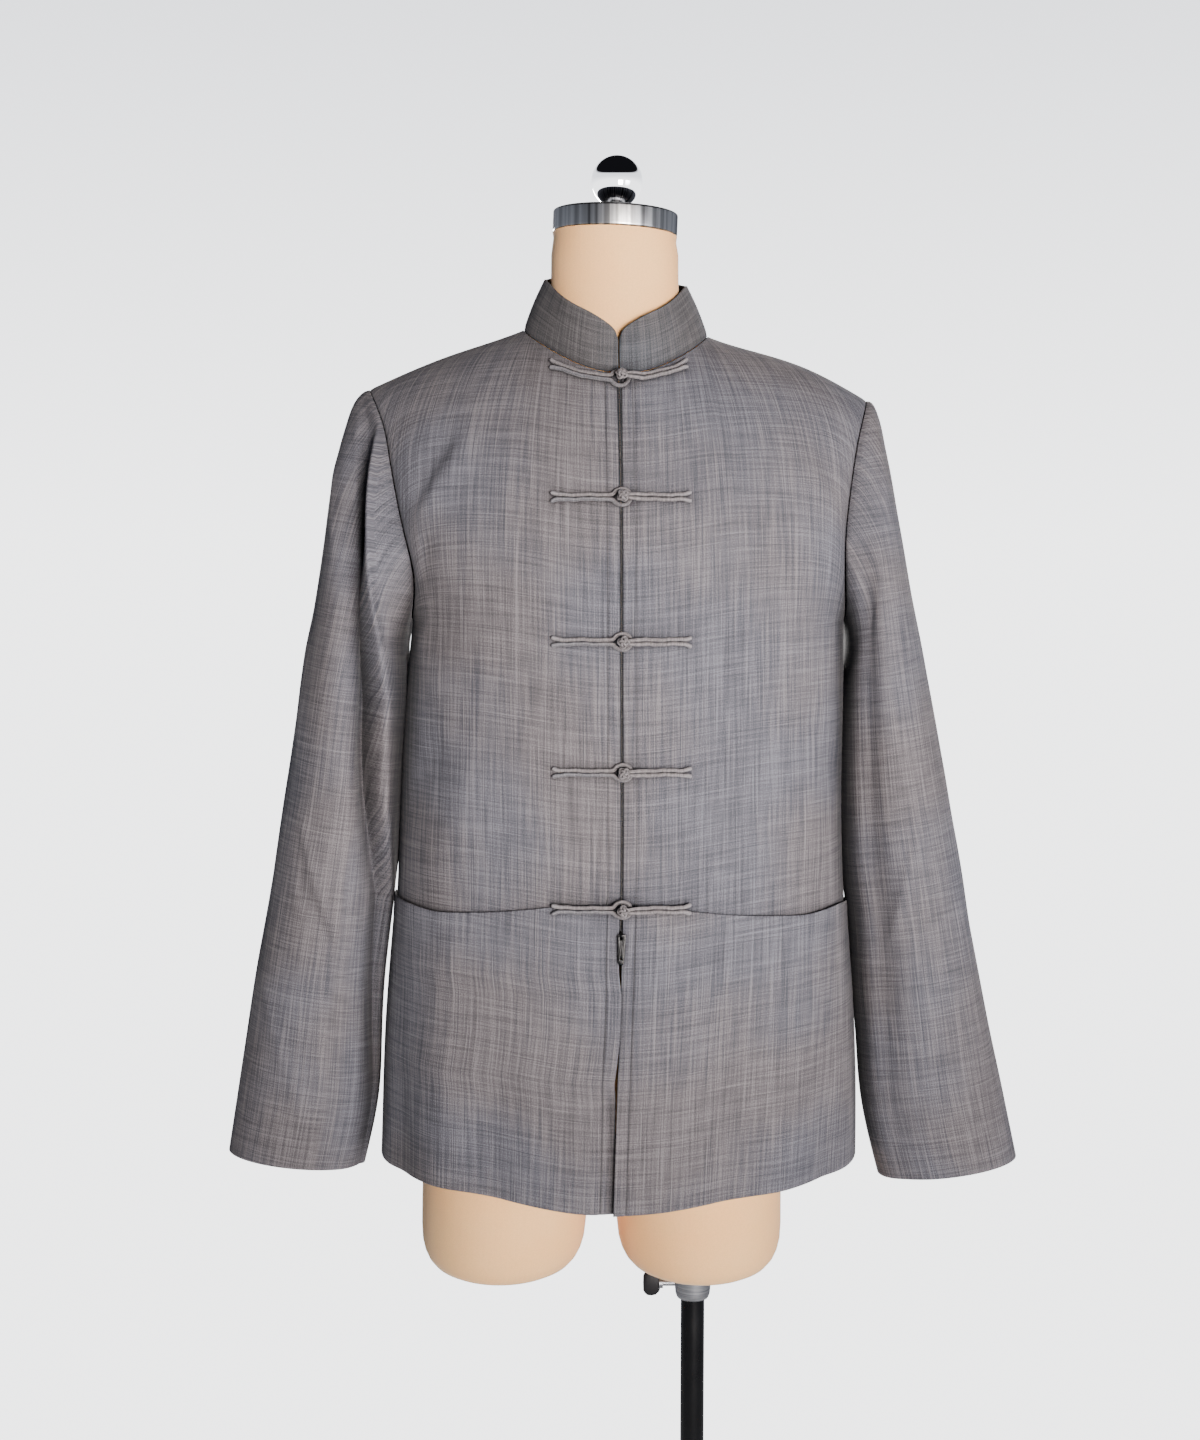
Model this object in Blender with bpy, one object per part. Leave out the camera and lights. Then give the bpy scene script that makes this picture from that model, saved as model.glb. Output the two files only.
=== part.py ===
"""A wool tang jacket, cut and sewn from cloth panels, on a limbless dress form with a pole stand.

Metres, +Z up, the jacket's front faces -Y. Right and left are the wearer's: right is -X.
The origin is the middle of the base plate's underside.
"""

import math

import bmesh
import bpy
import numpy as np
from mathutils import Matrix, Vector

# Cloth and seams
CLOTH = 0.0018  # wall of the lined suiting
SEAM = 0.0003  # space left between two sewn pieces
TAPE = 0.0010  # wall of the zip tape
CORD_RADIUS = 0.0020  # rolled cord of the frogs

# Heights of the jacket
UNDERARM = 1.2500
SEAM_Y = 0.0050  # depth at which the side and shoulder seams lie

# Height of the hem, by the share of the way from the centre to the side seam
HEM = {
    "share": [0.00, 0.10, 0.20, 0.30, 0.40, 0.50, 0.70, 1.00],
    "z": [0.7420, 0.7438, 0.7482, 0.7528, 0.7562, 0.7582, 0.7600, 0.7625],
}

# Neck hole, seen from above, measured from SEAM_Y
NECK_FRONT = 0.0800
NECK_BACK = 0.0530
NECK_WIDTH = {-1: 0.0860, 1: 0.0780}
ROUNDING = 2.35  # exponent of the body's superellipse sections

# Half widths and depths of the body below the arms, by height
BODY = {
    "z": [0.735, 0.800, 0.873, 0.939, 0.994, 1.086, 1.177, 1.250],
    "right": [0.2185, 0.2160, 0.2130, 0.2080, 0.2032, 0.1990, 0.1935, 0.1860],
    "left": [0.2150, 0.2150, 0.2130, 0.2085, 0.2040, 0.2005, 0.2010, 0.2005],
    "front": [0.1300, 0.1285, 0.1270, 0.1258, 0.1245, 0.1225, 0.1225, 0.1230],
    "back": [0.1150, 0.1130, 0.1110, 0.1085, 0.1062, 0.1045, 0.1063, 0.1078],
}
# Height of the shoulder line across the body, from the right shoulder to the left
SHOULDERS = {
    "x": [-0.2232, -0.1539, -0.0864, 0.0000, 0.0777, 0.1162, 0.1662, 0.2195],
    "z": [1.4548, 1.4837, 1.5066, 1.5320, 1.5012, 1.4890, 1.4731, 1.4450],
}
# How far out the armhole seam lies, by the share of the way from underarm to shoulder
ARMHOLE = {
    "share": [0.00, 0.15, 0.35, 0.50, 0.65, 0.80, 1.00],
    "right": [0.1860, 0.1800, 0.1875, 0.1945, 0.2005, 0.2070, 0.2232],
    "left": [0.2005, 0.1960, 0.1948, 0.1980, 0.2025, 0.2085, 0.2195],
}
ARMHOLE_DEPTH = 0.56  # share of the body's depth that the armhole reaches
ARMHOLE_CURVE = 0.35  # share of the armhole's height in which its lower end rounds
# How the depth falls off towards the shoulder seam: share of the way up, and roundness
FALL_OFF = {-1: (2.40, 1.655), 1: (3.00, 2.525)}

# Centre front: the line between the two fronts, and half the space between them
CENTRE = {
    "z": [0.735, 0.880, 1.000, 1.200, 1.357, 1.470],
    "x": [-0.0080, -0.0035, 0.0000, 0.0002, -0.0004, -0.0020],
    "half": [0.0010, 0.0012, 0.0013, 0.0013, 0.0014, 0.0022],
}
# Upper edge of the pockets, by the share of the way from the front edge to the side seam
MOUTH = {
    "share": [0.00, 0.18, 0.31, 0.46, 0.57, 0.65, 0.77, 0.89, 1.00],
    "right": [1.0130, 1.0105, 1.0058, 1.0021, 1.0003, 1.0014, 1.0056, 1.0090, 1.0120],
    "left": [1.0100, 1.0068, 1.0023, 0.9993, 0.9977, 0.9989, 1.0006, 0.9987, 1.0000],
}
# How far a pocket's mouth gapes from the front behind it
MOUTH_GAPE = {
    "share": [0.00, 0.30, 0.42, 0.60, 0.80, 0.93, 1.00],
    "off": [0.0000, 0.0000, 0.0006, 0.0014, 0.0022, 0.0030, 0.0006],
}

# Sections of a panel: columns run from the centre to the side, rows from hem to shoulder
NECK_COLUMN = 0.46
COLUMNS = [0.0, 0.036, 0.14, 0.22, 0.30, 0.38, NECK_COLUMN, 0.568, 0.676, 0.784, 0.892, 1.0]
POCKET_ROWS = 6
CHEST_ROWS = 6
YOKE_ROWS = 12

# Sections of the sleeves: where each ring's outer and inner side lie, and its half depth
SLEEVE = {
    -1: {
        "out_x": [0.2232, 0.2307, 0.2387, 0.2455, 0.2526, 0.2590, 0.2644, 0.2732, 0.2830,
                  0.2919, 0.3009, 0.3109, 0.3200, 0.3300, 0.3393, 0.3485, 0.3585],
        "out_z": [1.4548, 1.4510, 1.4410, 1.4214, 1.3950, 1.3600, 1.3210, 1.2670, 1.2135,
                  1.1590, 1.1044, 1.0496, 0.9940, 0.9385, 0.8826, 0.8260, 0.7650],
        "in_x": [0.1860, 0.1890, 0.1912, 0.1930, 0.1945, 0.1960, 0.1972, 0.1985, 0.2003,
                 0.2020, 0.2045, 0.2075, 0.2110, 0.2150, 0.2180, 0.2215, 0.2345],
        "in_z": [1.2500, 1.2420, 1.2340, 1.2260, 1.2170, 1.2060, 1.1930, 1.1740, 1.1480,
                 1.1120, 1.0710, 1.0250, 0.9750, 0.9230, 0.8690, 0.8135, 0.7520],
    },
    1: {
        "out_x": [0.2195, 0.2259, 0.2320, 0.2360, 0.2400, 0.2450, 0.2517, 0.2615, 0.2713,
                  0.2821, 0.2930, 0.3049, 0.3150, 0.3260, 0.3372, 0.3494, 0.3640],
        "out_z": [1.4450, 1.4410, 1.4258, 1.4060, 1.3850, 1.3560, 1.3210, 1.2670, 1.2135,
                  1.1590, 1.1044, 1.0496, 0.9940, 0.9385, 0.8826, 0.8260, 0.7590],
        "in_x": [0.2005, 0.2025, 0.2040, 0.2052, 0.2060, 0.2064, 0.2066, 0.2066, 0.2064,
                 0.2060, 0.2062, 0.2080, 0.2108, 0.2145, 0.2180, 0.2222, 0.2375],
        "in_z": [1.2500, 1.2420, 1.2340, 1.2260, 1.2170, 1.2060, 1.1930, 1.1740, 1.1480,
                 1.1120, 1.0710, 1.0250, 0.9750, 0.9230, 0.8690, 0.8100, 0.7420],
    },
}
SLEEVE_HALF_DEPTH = [0.0650, 0.0665, 0.0680, 0.0695, 0.0705, 0.0712, 0.0715, 0.0712, 0.0705,
                     0.0690, 0.0665, 0.0630, 0.0590, 0.0545, 0.0495, 0.0445, 0.0400]
SLEEVE_FORWARD = 0.0150  # how far the cuffs hang in front of the shoulder seam
SLEEVE_BLEND = 5  # rings over which the armhole's outline turns into an oval

# Long folds of the sleeves: a trough whose place round the sleeve is given in degrees from the
# outer side, through the front, at some of the rings
SLEEVE_FOLDS = {
    -1: [
        {"ring": [0.0, 1.5, 3, 5, 7, 9, 11, 13, 15, 16],
         "place": [45, 62, 77, 95, 119, 124, 134, 147, 156, 160],
         "depth": [0.0000, 0.0025, 0.0060, 0.0095, 0.0110, 0.0110, 0.0095, 0.0080, 0.0040, 0.0015],
         "width": 17},
        {"ring": [3, 5, 8, 11, 14, 16], "place": [252, 250, 246, 240, 236, 235],
         "depth": [0.0000, 0.0035, 0.0060, 0.0062, 0.0035, 0.0010], "width": 16},
    ],
    1: [
        {"ring": [2, 5, 8, 11, 14, 16], "place": [112, 116, 122, 126, 130, 132],
         "depth": [0.0000, 0.0038, 0.0050, 0.0048, 0.0030, 0.0010], "width": 15},
        {"ring": [2, 5, 8, 11, 14, 16], "place": [246, 250, 256, 262, 262, 262],
         "depth": [0.0000, 0.0040, 0.0062, 0.0060, 0.0030, 0.0010], "width": 18},
    ],
}

# Collar
COLLAR_HEIGHT = 0.0485
COLLAR_FRONT = 0.0285  # height left at the rounded front corners
COLLAR_CORNER = 0.0340  # length over which the front corners round
COLLAR_LEAN_FRONT = math.radians(9)
COLLAR_LEAN_SIDE = math.radians(24)
COLLAR_ROWS = 4

# Frogs
FROG_HEIGHTS = [1.4570, 1.3566, 1.2362, 1.1257, 1.0090]
KNOT_RADIUS = 0.0056
KNOT_HEIGHT = 0.0087
FROG_ON_POCKET = 4  # the last frog lies over the edges of the pockets
FROG_NECK_CURVE = 4.1  # how the top frog bends up along the collar seam

# Zip
ZIP_AXIS_Z = 0.9872
SLIDER = (0.0080, 0.0045, 0.0100)
BAIL_THICKNESS = 0.0016
AXIS_OUT = 0.0046  # distance of the pull's axis in front of the fronts
PULL_LENGTH = 0.0250
PULL_WIDTH_TOP = 0.0066
PULL_WIDTH_END = 0.0048
PULL_THICKNESS = 0.0013

# Dress form
FORM_SHIFT_NECK = -0.0050
NECK_TILT = math.radians(2.3)
NECK_TOP = 1.5880
CAP_RADIUS = 0.0548
# Half widths and depths of the form's body, by height
FORM = {
    "z": [0.800, 0.860, 0.930, 1.000, 1.080, 1.150, 1.220, 1.275],
    "right": [0.1800, 0.1860, 0.1850, 0.1740, 0.1600, 0.1570, 0.1620, 0.1670],
    "left": [0.1560, 0.1660, 0.1690, 0.1620, 0.1540, 0.1560, 0.1640, 0.1690],
    "front": [0.0950, 0.1010, 0.1030, 0.1010, 0.0980, 0.1020, 0.1090, 0.1110],
    "back": [0.0900, 0.0980, 0.0990, 0.0900, 0.0820, 0.0850, 0.0900, 0.0930],
}
FORM_SHARES = [0.25, 0.40, 0.55, 0.68, 0.79, 0.88, 0.945, 0.985]
FORM_REACH = 0.93  # share of the armhole's distance out that the form's shoulders reach
FORM_DEPTH = 0.90  # share of the jacket's depth that its chest fills
FORM_ROUNDING = 0.92
# The neck: half width, half depth, and how far its middle lies in front of SEAM_Y
NECK = {
    "z": [1.4400, 1.4800, 1.5050, 1.5300, 1.5500, 1.5700],
    "wide": [0.0720, 0.0665, 0.0610, 0.0570, 0.0562, 0.0560],
    "deep": [0.0560, 0.0550, 0.0520, 0.0490, 0.0480, 0.0500],
    "ahead": [0.0120, 0.0120, 0.0120, 0.0120, 0.0120, 0.0120],
}
THIGH_X = {-1: -0.1085, 1: 0.0745}
THIGH_HALF_WIDTH = 0.0765
THIGH_HALF_DEPTH = 0.0860
THIGH_BOTTOM = 0.6550
THIGH_TOP = 0.8700
FORM_CLEAR = 0.0020  # space between the form's shoulders and the jacket

# Neck cap and knob
CAP_HEIGHT = 0.0190
BALL_RADIUS = 0.0225

# Stand
POLE_X = 0.0682
POLE_RADIUS = 0.0110
POLE_TOP = 0.9000
BORE_RADIUS = 0.0115
BORE_TOP = 1.0600
SOCKET_RADIUS_TOP = 0.0190
SOCKET_RADIUS_END = 0.0145
SOCKET_BOTTOM = 0.6200
SCREW_Z = 0.6330
SCREW_RADIUS = 0.0030
WING = (0.0160, 0.0070, 0.0250)
WING_X = 0.0300
BASE_RADIUS = 0.2000
BASE_THICKNESS = 0.0080
HUB_RADIUS = 0.0210
HUB_TOP = 0.0400


def material(name, colour, roughness, metallic=0.0):
    """A Principled material with one colour, roughness and metallic value."""
    made = bpy.data.materials.new(name)
    made.use_nodes = True
    shader = made.node_tree.nodes["Principled BSDF"]
    shader.inputs["Base Color"].default_value = (*colour, 1.0)
    shader.inputs["Roughness"].default_value = roughness
    shader.inputs["Metallic"].default_value = metallic
    return made


def curve_through(at, knots, values):
    """The natural cubic spline through (knots, values), read at the given places."""
    knots, values, at = (np.asarray(part, float) for part in (knots, values, at))
    step, rise = np.diff(knots), np.diff(values) / np.diff(knots)
    count = len(knots)
    system, right = np.eye(count), np.zeros(count)
    for i in range(1, count - 1):
        system[i, i - 1 : i + 2] = step[i - 1], 2 * (step[i - 1] + step[i]), step[i]
        right[i] = 6 * (rise[i] - rise[i - 1])
    bend = np.linalg.solve(system, right)
    i = np.clip(np.searchsorted(knots, at) - 1, 0, count - 2)
    t = at - knots[i]
    slope = rise[i] - step[i] * (2 * bend[i] + bend[i + 1]) / 6
    return values[i] + t * (slope + t * (bend[i] / 2 + t * (bend[i + 1] - bend[i]) / (6 * step[i])))


def unit(vectors):
    """Each vector divided by its length."""
    return vectors / np.maximum(np.linalg.norm(vectors, axis=-1, keepdims=True), 1e-12)


def side_name(side):
    return "right" if side < 0 else "left"


# ---------------------------------------------------------------- the body's outer surface


def fall_off(face, share):
    """Depth of the body, as a share of its depth at the underarm, on the way up to the shoulder."""
    power, roundness = FALL_OFF[face]
    return np.clip(1 - np.clip(share, 0, 1) ** power, 0, 1) ** (1 / roundness)


def height_share(face, depth_share):
    """The reverse of fall_off: how far up the depth has fallen to this share."""
    power, roundness = FALL_OFF[face]
    return np.clip(1 - np.clip(depth_share, 0, 1) ** roundness, 0, 1) ** (1 / power)


def shoulder_height(x):
    return curve_through(x, SHOULDERS["x"], SHOULDERS["z"])


def underarm_depth(face):
    return BODY["front" if face < 0 else "back"][-1]


def upper_point(side, face, out, share):
    """Point above the underarm, from its distance out and its share of the way to the shoulder."""
    arm = curve_through(share, ARMHOLE["share"], ARMHOLE[side_name(side)])
    reach = np.clip(share / ARMHOLE_CURVE, 0, 1)
    ratio = ARMHOLE_DEPTH * np.sqrt(np.clip(1 - (1 - reach) ** 2, 0, 1))
    half_width = arm / (1 - ratio**ROUNDING) ** (1 / ROUNDING)
    section = np.clip(1 - np.clip(np.abs(out) / half_width, 0, 1) ** ROUNDING, 0, 1)
    depth = underarm_depth(face) * fall_off(face, share) * section ** (1 / ROUNDING)
    z = UNDERARM + (shoulder_height(side * out) - UNDERARM) * share
    return np.stack([side * out, SEAM_Y + face * depth, z], axis=-1)


def lower_point(side, face, out_share, z, start):
    """Point below the underarm: a superellipse section, from the start to the side seam."""
    half_width = curve_through(z, BODY["z"], BODY[side_name(side)])
    deep = curve_through(z, BODY["z"], BODY["front" if face < 0 else "back"])
    out = start + (1 - start / half_width) * half_width * out_share
    section = np.clip(1 - np.clip(np.abs(out) / half_width, 0, 1) ** ROUNDING, 0, 1)
    return np.stack([side * out, SEAM_Y + face * deep * section ** (1 / ROUNDING), z], axis=-1)


def front_edge(side, z):
    """How far out a front starts at this height: its side of the centre line."""
    centre = curve_through(z, CENTRE["z"], CENTRE["x"])
    return side * centre + np.interp(z, CENTRE["z"], CENTRE["half"])


def top_line(side, face, column):
    """The upper edge of a panel: the neckline up to NECK_COLUMN, then the shoulder seam."""
    angle = np.clip(column / NECK_COLUMN, 0, 1) * math.pi / 2
    along = np.clip((column - NECK_COLUMN) / (1 - NECK_COLUMN), 0, 1)
    tip = ARMHOLE[side_name(side)][-1]
    out = NECK_WIDTH[side] * np.sin(angle) + (tip - NECK_WIDTH[side]) * along
    neck = (NECK_FRONT if face < 0 else NECK_BACK) / underarm_depth(face)
    return out, height_share(face, neck * np.cos(angle))


def panel(side, face, columns, rows):
    """Points of one quarter of the body. Rows: 0 hem, 1 pocket mouth, 2 underarm, 3 top."""
    column, row = np.meshgrid(np.asarray(columns, float), np.asarray(rows, float))
    lean = np.sin(column * math.pi / 2)
    hem = curve_through(column, HEM["share"], HEM["z"])
    mouth = curve_through(column, MOUTH["share"], MOUTH[side_name(side)])
    low = hem + (mouth - hem) * np.clip(row, 0, 1) + (UNDERARM - mouth) * np.clip(row - 1, 0, 1)
    start = front_edge(side, low) if face < 0 else np.zeros_like(low)
    below = lower_point(side, face, lean, low, start)
    climb = (1 - np.cos(np.clip(row - 2, 0, 1) * math.pi)) / 2
    out_top, share_top = top_line(side, face, column)
    share = share_top * climb
    arm = curve_through(share, ARMHOLE["share"], ARMHOLE[side_name(side)])
    tip = ARMHOLE[side_name(side)][-1]
    blend = climb**2 * (3 - 2 * climb)
    spread = arm * ((1 - blend) * lean + blend * out_top / tip)
    if face < 0:
        start = front_edge(side, UNDERARM + share * (SHOULDERS["z"][3] - UNDERARM))
        near_edge = np.clip(1 - column / NECK_COLUMN, 0, 1)
        spread += start * ((1 - blend) * (1 - lean) + blend * near_edge)
    above = upper_point(side, face, spread, share)
    return np.where((row > 2)[..., None], above, below)


def rows_of(pocket, chest, yoke):
    """Row places: even below the underarm, then from the underarm to the top."""
    parts = [np.linspace(0, 1, pocket + 1), np.linspace(1, 2, chest + 1)[1:]]
    parts.append(np.linspace(2, 3, yoke + 1)[1:])
    return np.concatenate(parts)


def on_front(x, z, off=0.0):
    """Point on the outer face of the fronts at (x, z), moved out by off along the surface's normal."""

    def depth(px, pz):
        side = -1 if px < 0 else 1
        out = abs(px)
        if pz < UNDERARM:
            return float(lower_point(side, -1, out / float(
                curve_through(pz, BODY["z"], BODY[side_name(side)])), pz, 0.0)[1])
        share = (pz - UNDERARM) / (float(shoulder_height(px)) - UNDERARM)
        return float(upper_point(side, -1, out, share)[1])

    step = 0.002
    slope_x = (depth(x + step, z) - depth(x - step, z)) / (2 * step)
    slope_z = (depth(x, z + step) - depth(x, z - step)) / (2 * step)
    normal = Vector((slope_x, -1.0, slope_z)).normalized()
    return Vector((x, depth(x, z), z)) + normal * off, normal


# ---------------------------------------------------------------- walls of cloth


def grid_normals(points, wrap=False):
    """Unit normals of a grid of points, from the differences along its rows and columns."""
    if wrap:
        across = np.roll(points, -1, axis=1) - np.roll(points, 1, axis=1)
    else:
        across = np.gradient(points, axis=1)
    return unit(np.cross(across, np.gradient(points, axis=0)))


def facing(points, normals, centre):
    """Turns the normals so that they point away from the centre line (x, y)."""
    away = points[..., :2] - np.asarray(centre)
    outward = np.sum(normals[..., :2] * away, axis=-1).mean() > 0
    return normals if outward else -normals


def pull_back(points, edge, by):
    """Moves one edge of a grid towards its neighbours, to leave room for the next piece."""
    first, second = {"first_row": (np.s_[0], np.s_[1]), "last_row": (np.s_[-1], np.s_[-2]),
                     "first_column": (np.s_[:, 0], np.s_[:, 1]),
                     "last_column": (np.s_[:, -1], np.s_[:, -2])}[edge]
    points[first] += by * unit(points[second] - points[first])


def build(name, vertices, faces, finish, smooth=True):
    """One object from its vertices and faces, with its normals turned outwards."""
    mesh = bpy.data.meshes.new(name)
    mesh.from_pydata([tuple(map(float, v)) for v in vertices], [], faces)
    shape = bmesh.new()
    shape.from_mesh(mesh)
    bmesh.ops.recalc_face_normals(shape, faces=shape.faces)
    shape.to_mesh(mesh)
    shape.free()
    mesh.materials.append(finish)
    if smooth:
        mesh.shade_smooth()
        mesh.set_sharp_from_angle(angle=math.radians(40))
    made = bpy.data.objects.new(name, mesh)
    bpy.context.scene.collection.objects.link(made)
    return made


def wall(name, outer, inner, finish, wrap=False):
    """A closed wall between two grids of points, open at its ends if it wraps round."""
    rows, columns = outer.shape[:2]
    count = rows * columns
    index = np.arange(count).reshape(rows, columns)
    if wrap:
        index = np.column_stack([index, index[:, 0]])
    low_left, low_right = index[:-1, :-1], index[:-1, 1:]
    up_left, up_right = index[1:, :-1], index[1:, 1:]
    quads = np.stack([low_left, low_right, up_right, up_left], -1).reshape(-1, 4)
    faces = quads.tolist() + (quads[:, [0, 3, 2, 1]] + count).tolist()
    points = np.concatenate([outer.reshape(-1, 3), inner.reshape(-1, 3)])
    lines = [index[0], index[-1]]
    if not wrap:
        lines += [index[:, 0], index[:, -1]]
    for line in lines:
        faces += rim(points, line, count)
    return build(name, points, faces, finish)


def rim(points, line, count):
    """Triangles between an outer edge and its inner edge, split the same way in both pieces
    that share a seam: from the end that lies higher along one fixed direction."""
    order = points @ np.array([0.11, 0.37, 1.0])
    faces = []
    for a, b in zip(line[:-1], line[1:]):
        high, low = (a, b) if order[a] > order[b] else (b, a)
        faces += [[int(high), int(low), int(low + count)],
                  [int(high), int(low + count), int(high + count)]]
    return faces


# ---------------------------------------------------------------- the jacket


def seam_normals(first, second):
    """The direction that two pieces share along their seam."""
    return unit(first + second)


def cut_panels(columns, rows):
    """Outer points and shared normals of the fronts and of the whole back."""
    cut = {}
    for side in (-1, 1):
        for face in (-1, 1):
            points = panel(side, face, columns, rows)
            normals = facing(points, grid_normals(points), (0, SEAM_Y))
            cut[side, face] = [points, normals]
    for side in (-1, 1):
        front, back = cut[side, -1][1], cut[side, 1][1]
        shared = seam_normals(front[:, -1], back[:, -1])
        front[:, -1] = back[:, -1] = np.where((np.asarray(rows) <= 2)[:, None], shared, 0)
        for normals in (front, back):
            armhole = np.asarray(rows) > 2
            points = cut[side, -1 if normals is front else 1][0]
            own = facing(points, grid_normals(points), (0, SEAM_Y))
            normals[armhole, -1] = own[armhole, -1]
        neck = len([c for c in columns if c < NECK_COLUMN])
        shoulder = seam_normals(front[-1, neck:], back[-1, neck:])
        shoulder[:, 2] = np.abs(shoulder[:, 2])
        front[-1, neck:] = back[-1, neck:] = unit(shoulder)
    middle = unit(cut[-1, 1][1][:, 0] + cut[1, 1][1][:, 0])
    cut[-1, 1][1][:, 0] = cut[1, 1][1][:, 0] = middle
    return cut


def sleeve_rings(side, armhole):
    """Rings of a sleeve, from the armhole's own outline to the oval of the cuff."""
    table = SLEEVE[side]
    outer = np.stack([np.array(table["out_x"]) * side, np.zeros(17), table["out_z"]], -1)
    inner = np.stack([np.array(table["in_x"]) * side, np.zeros(17), table["in_z"]], -1)
    count = len(outer)
    share = np.arange(count) / (count - 1)
    middle = (outer + inner) / 2
    middle[:, 1] = SEAM_Y - SLEEVE_FORWARD * share**1.5
    half = (outer - inner) / 2
    deep = np.array(SLEEVE_HALF_DEPTH)
    around = np.linalg.norm(np.diff(np.vstack([armhole, armhole[:1]]), axis=0), axis=1)
    angle = 2 * math.pi * np.concatenate([[0], np.cumsum(around)[:-1]]) / around.sum()
    lift, front = np.cos(angle), np.sin(angle)
    rings = middle[:, None] + half[:, None] * lift[None, :, None]
    rings[..., 1] -= deep[:, None] * front[None, :]
    left_over = armhole - rings[0]
    fade = np.clip(1 - np.arange(count) / SLEEVE_BLEND, 0, 1)
    rings += left_over[None] * (fade**2 * (3 - 2 * fade))[:, None, None]
    normals = facing_out(rings, grid_normals(rings, wrap=True))
    ring = np.arange(count)
    for fold in SLEEVE_FOLDS[side]:
        place = np.radians(np.interp(ring, fold["ring"], fold["place"]))[:, None]
        depth = np.interp(ring, fold["ring"], fold["depth"])[:, None]
        apart = (angle[None] - place + math.pi) % (2 * math.pi) - math.pi
        rings -= normals * (depth * np.exp(-((apart / math.radians(fold["width"])) ** 2)))[..., None]
    return rings, angle


def facing_out(rings, normals):
    """Turns a tube's normals away from the middle of each ring."""
    away = rings - rings.mean(axis=1, keepdims=True)
    return normals if np.sum(away * normals) > 0 else -normals


def sew_jacket(suiting, tape_finish):
    """The panels, sleeves, collar, pockets and zip tapes, each its own wall of cloth."""
    rows = rows_of(POCKET_ROWS, CHEST_ROWS, YOKE_ROWS)
    cut = cut_panels(COLUMNS, rows)
    underarm_row = int(np.argmax(rows >= 2))
    neck = COLUMNS.index(NECK_COLUMN)

    # Sleeves first, since each shares its seam's direction with the body
    sleeves = {}
    for side in (-1, 1):
        front, back = cut[side, -1][0], cut[side, 1][0]
        down_front = front[underarm_row:, -1][::-1]
        up_back = back[underarm_row + 1 : -1, -1]
        armhole = np.vstack([down_front, up_back])
        rings, angle = sleeve_rings(side, armhole)
        normals = facing_out(rings, grid_normals(rings, wrap=True))
        body = np.vstack([cut[side, -1][1][underarm_row:, -1][::-1],
                          cut[side, 1][1][underarm_row + 1 : -1, -1]])
        shared = seam_normals(body, normals[0])
        normals[0] = shared
        split = len(down_front)
        cut[side, -1][1][underarm_row:, -1] = shared[:split][::-1]
        cut[side, 1][1][underarm_row + 1 : -1, -1] = shared[split:]
        cut[side, 1][1][underarm_row, -1] = shared[split - 1]
        cut[side, 1][1][-1, -1] = shared[0]
        sleeves[side] = rings, normals

    # The collar's foot shares its direction with the neckline
    line = [cut[-1, -1][0][-1, : neck + 1], cut[-1, 1][0][-1, :neck][::-1],
            cut[1, 1][0][-1, 1:neck], cut[1, -1][0][-1, : neck + 1][::-1]]
    foot_normals = [cut[-1, -1][1][-1, : neck + 1], cut[-1, 1][1][-1, :neck][::-1],
                    cut[1, 1][1][-1, 1:neck], cut[1, -1][1][-1, : neck + 1][::-1]]
    foot, foot_normals = np.vstack(line), np.vstack(foot_normals)
    collar_outer = collar_points(foot)
    collar_normals = facing(collar_outer, grid_normals(collar_outer), (FORM_SHIFT_NECK, SEAM_Y))
    shared = seam_normals(foot_normals, collar_normals[0])
    collar_normals[0] = shared
    sizes = np.cumsum([neck + 1, neck, neck - 1, neck + 1])
    cut[-1, -1][1][-1, : neck + 1] = shared[: sizes[0]]
    cut[-1, 1][1][-1, :neck] = shared[sizes[0] : sizes[1]][::-1]
    cut[1, 1][1][-1, 1:neck] = shared[sizes[1] : sizes[2]]
    cut[1, 1][1][-1, 0] = cut[-1, 1][1][-1, 0]
    cut[1, -1][1][-1, : neck + 1] = shared[sizes[2] :][::-1]
    cut[-1, 1][1][-1, neck] = cut[-1, -1][1][-1, neck]
    cut[1, 1][1][-1, neck] = cut[1, -1][1][-1, neck]

    for side in (-1, 1):
        name = side_name(side)
        points, normals = cut[side, -1]
        inner = points - CLOTH * normals
        outer = points.copy()
        for grid in (outer, inner):
            pull_back(grid, "last_column", SEAM / 2)
            pull_back(grid, "last_row", SEAM / 2)
        wall(f"front_{name}", outer, inner, suiting)
        sew_pocket(side, points[: POCKET_ROWS + 1], normals[: POCKET_ROWS + 1], suiting)
        sew_tape(side, points, normals, rows, tape_finish)

    back_points = np.concatenate([cut[-1, 1][0][:, :0:-1], cut[1, 1][0]], axis=1)
    back_normals = np.concatenate([cut[-1, 1][1][:, :0:-1], cut[1, 1][1]], axis=1)
    outer, inner = back_points.copy(), back_points - CLOTH * back_normals
    for grid in (outer, inner):
        for edge in ("first_column", "last_column", "last_row"):
            pull_back(grid, edge, SEAM / 2)
    wall("back", outer, inner, suiting)

    for side, (rings, normals) in sleeves.items():
        outer, inner = rings.copy(), rings - CLOTH * normals
        for grid in (outer, inner):
            pull_back(grid, "first_row", SEAM / 2)
        wall(f"sleeve_{side_name(side)}", outer, inner, suiting, wrap=True)

    outer, inner = collar_outer.copy(), collar_outer - CLOTH * collar_normals
    for grid in (outer, inner):
        pull_back(grid, "first_row", SEAM / 2)
    wall("collar", outer, inner, suiting)
    return cut, rows


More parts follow.
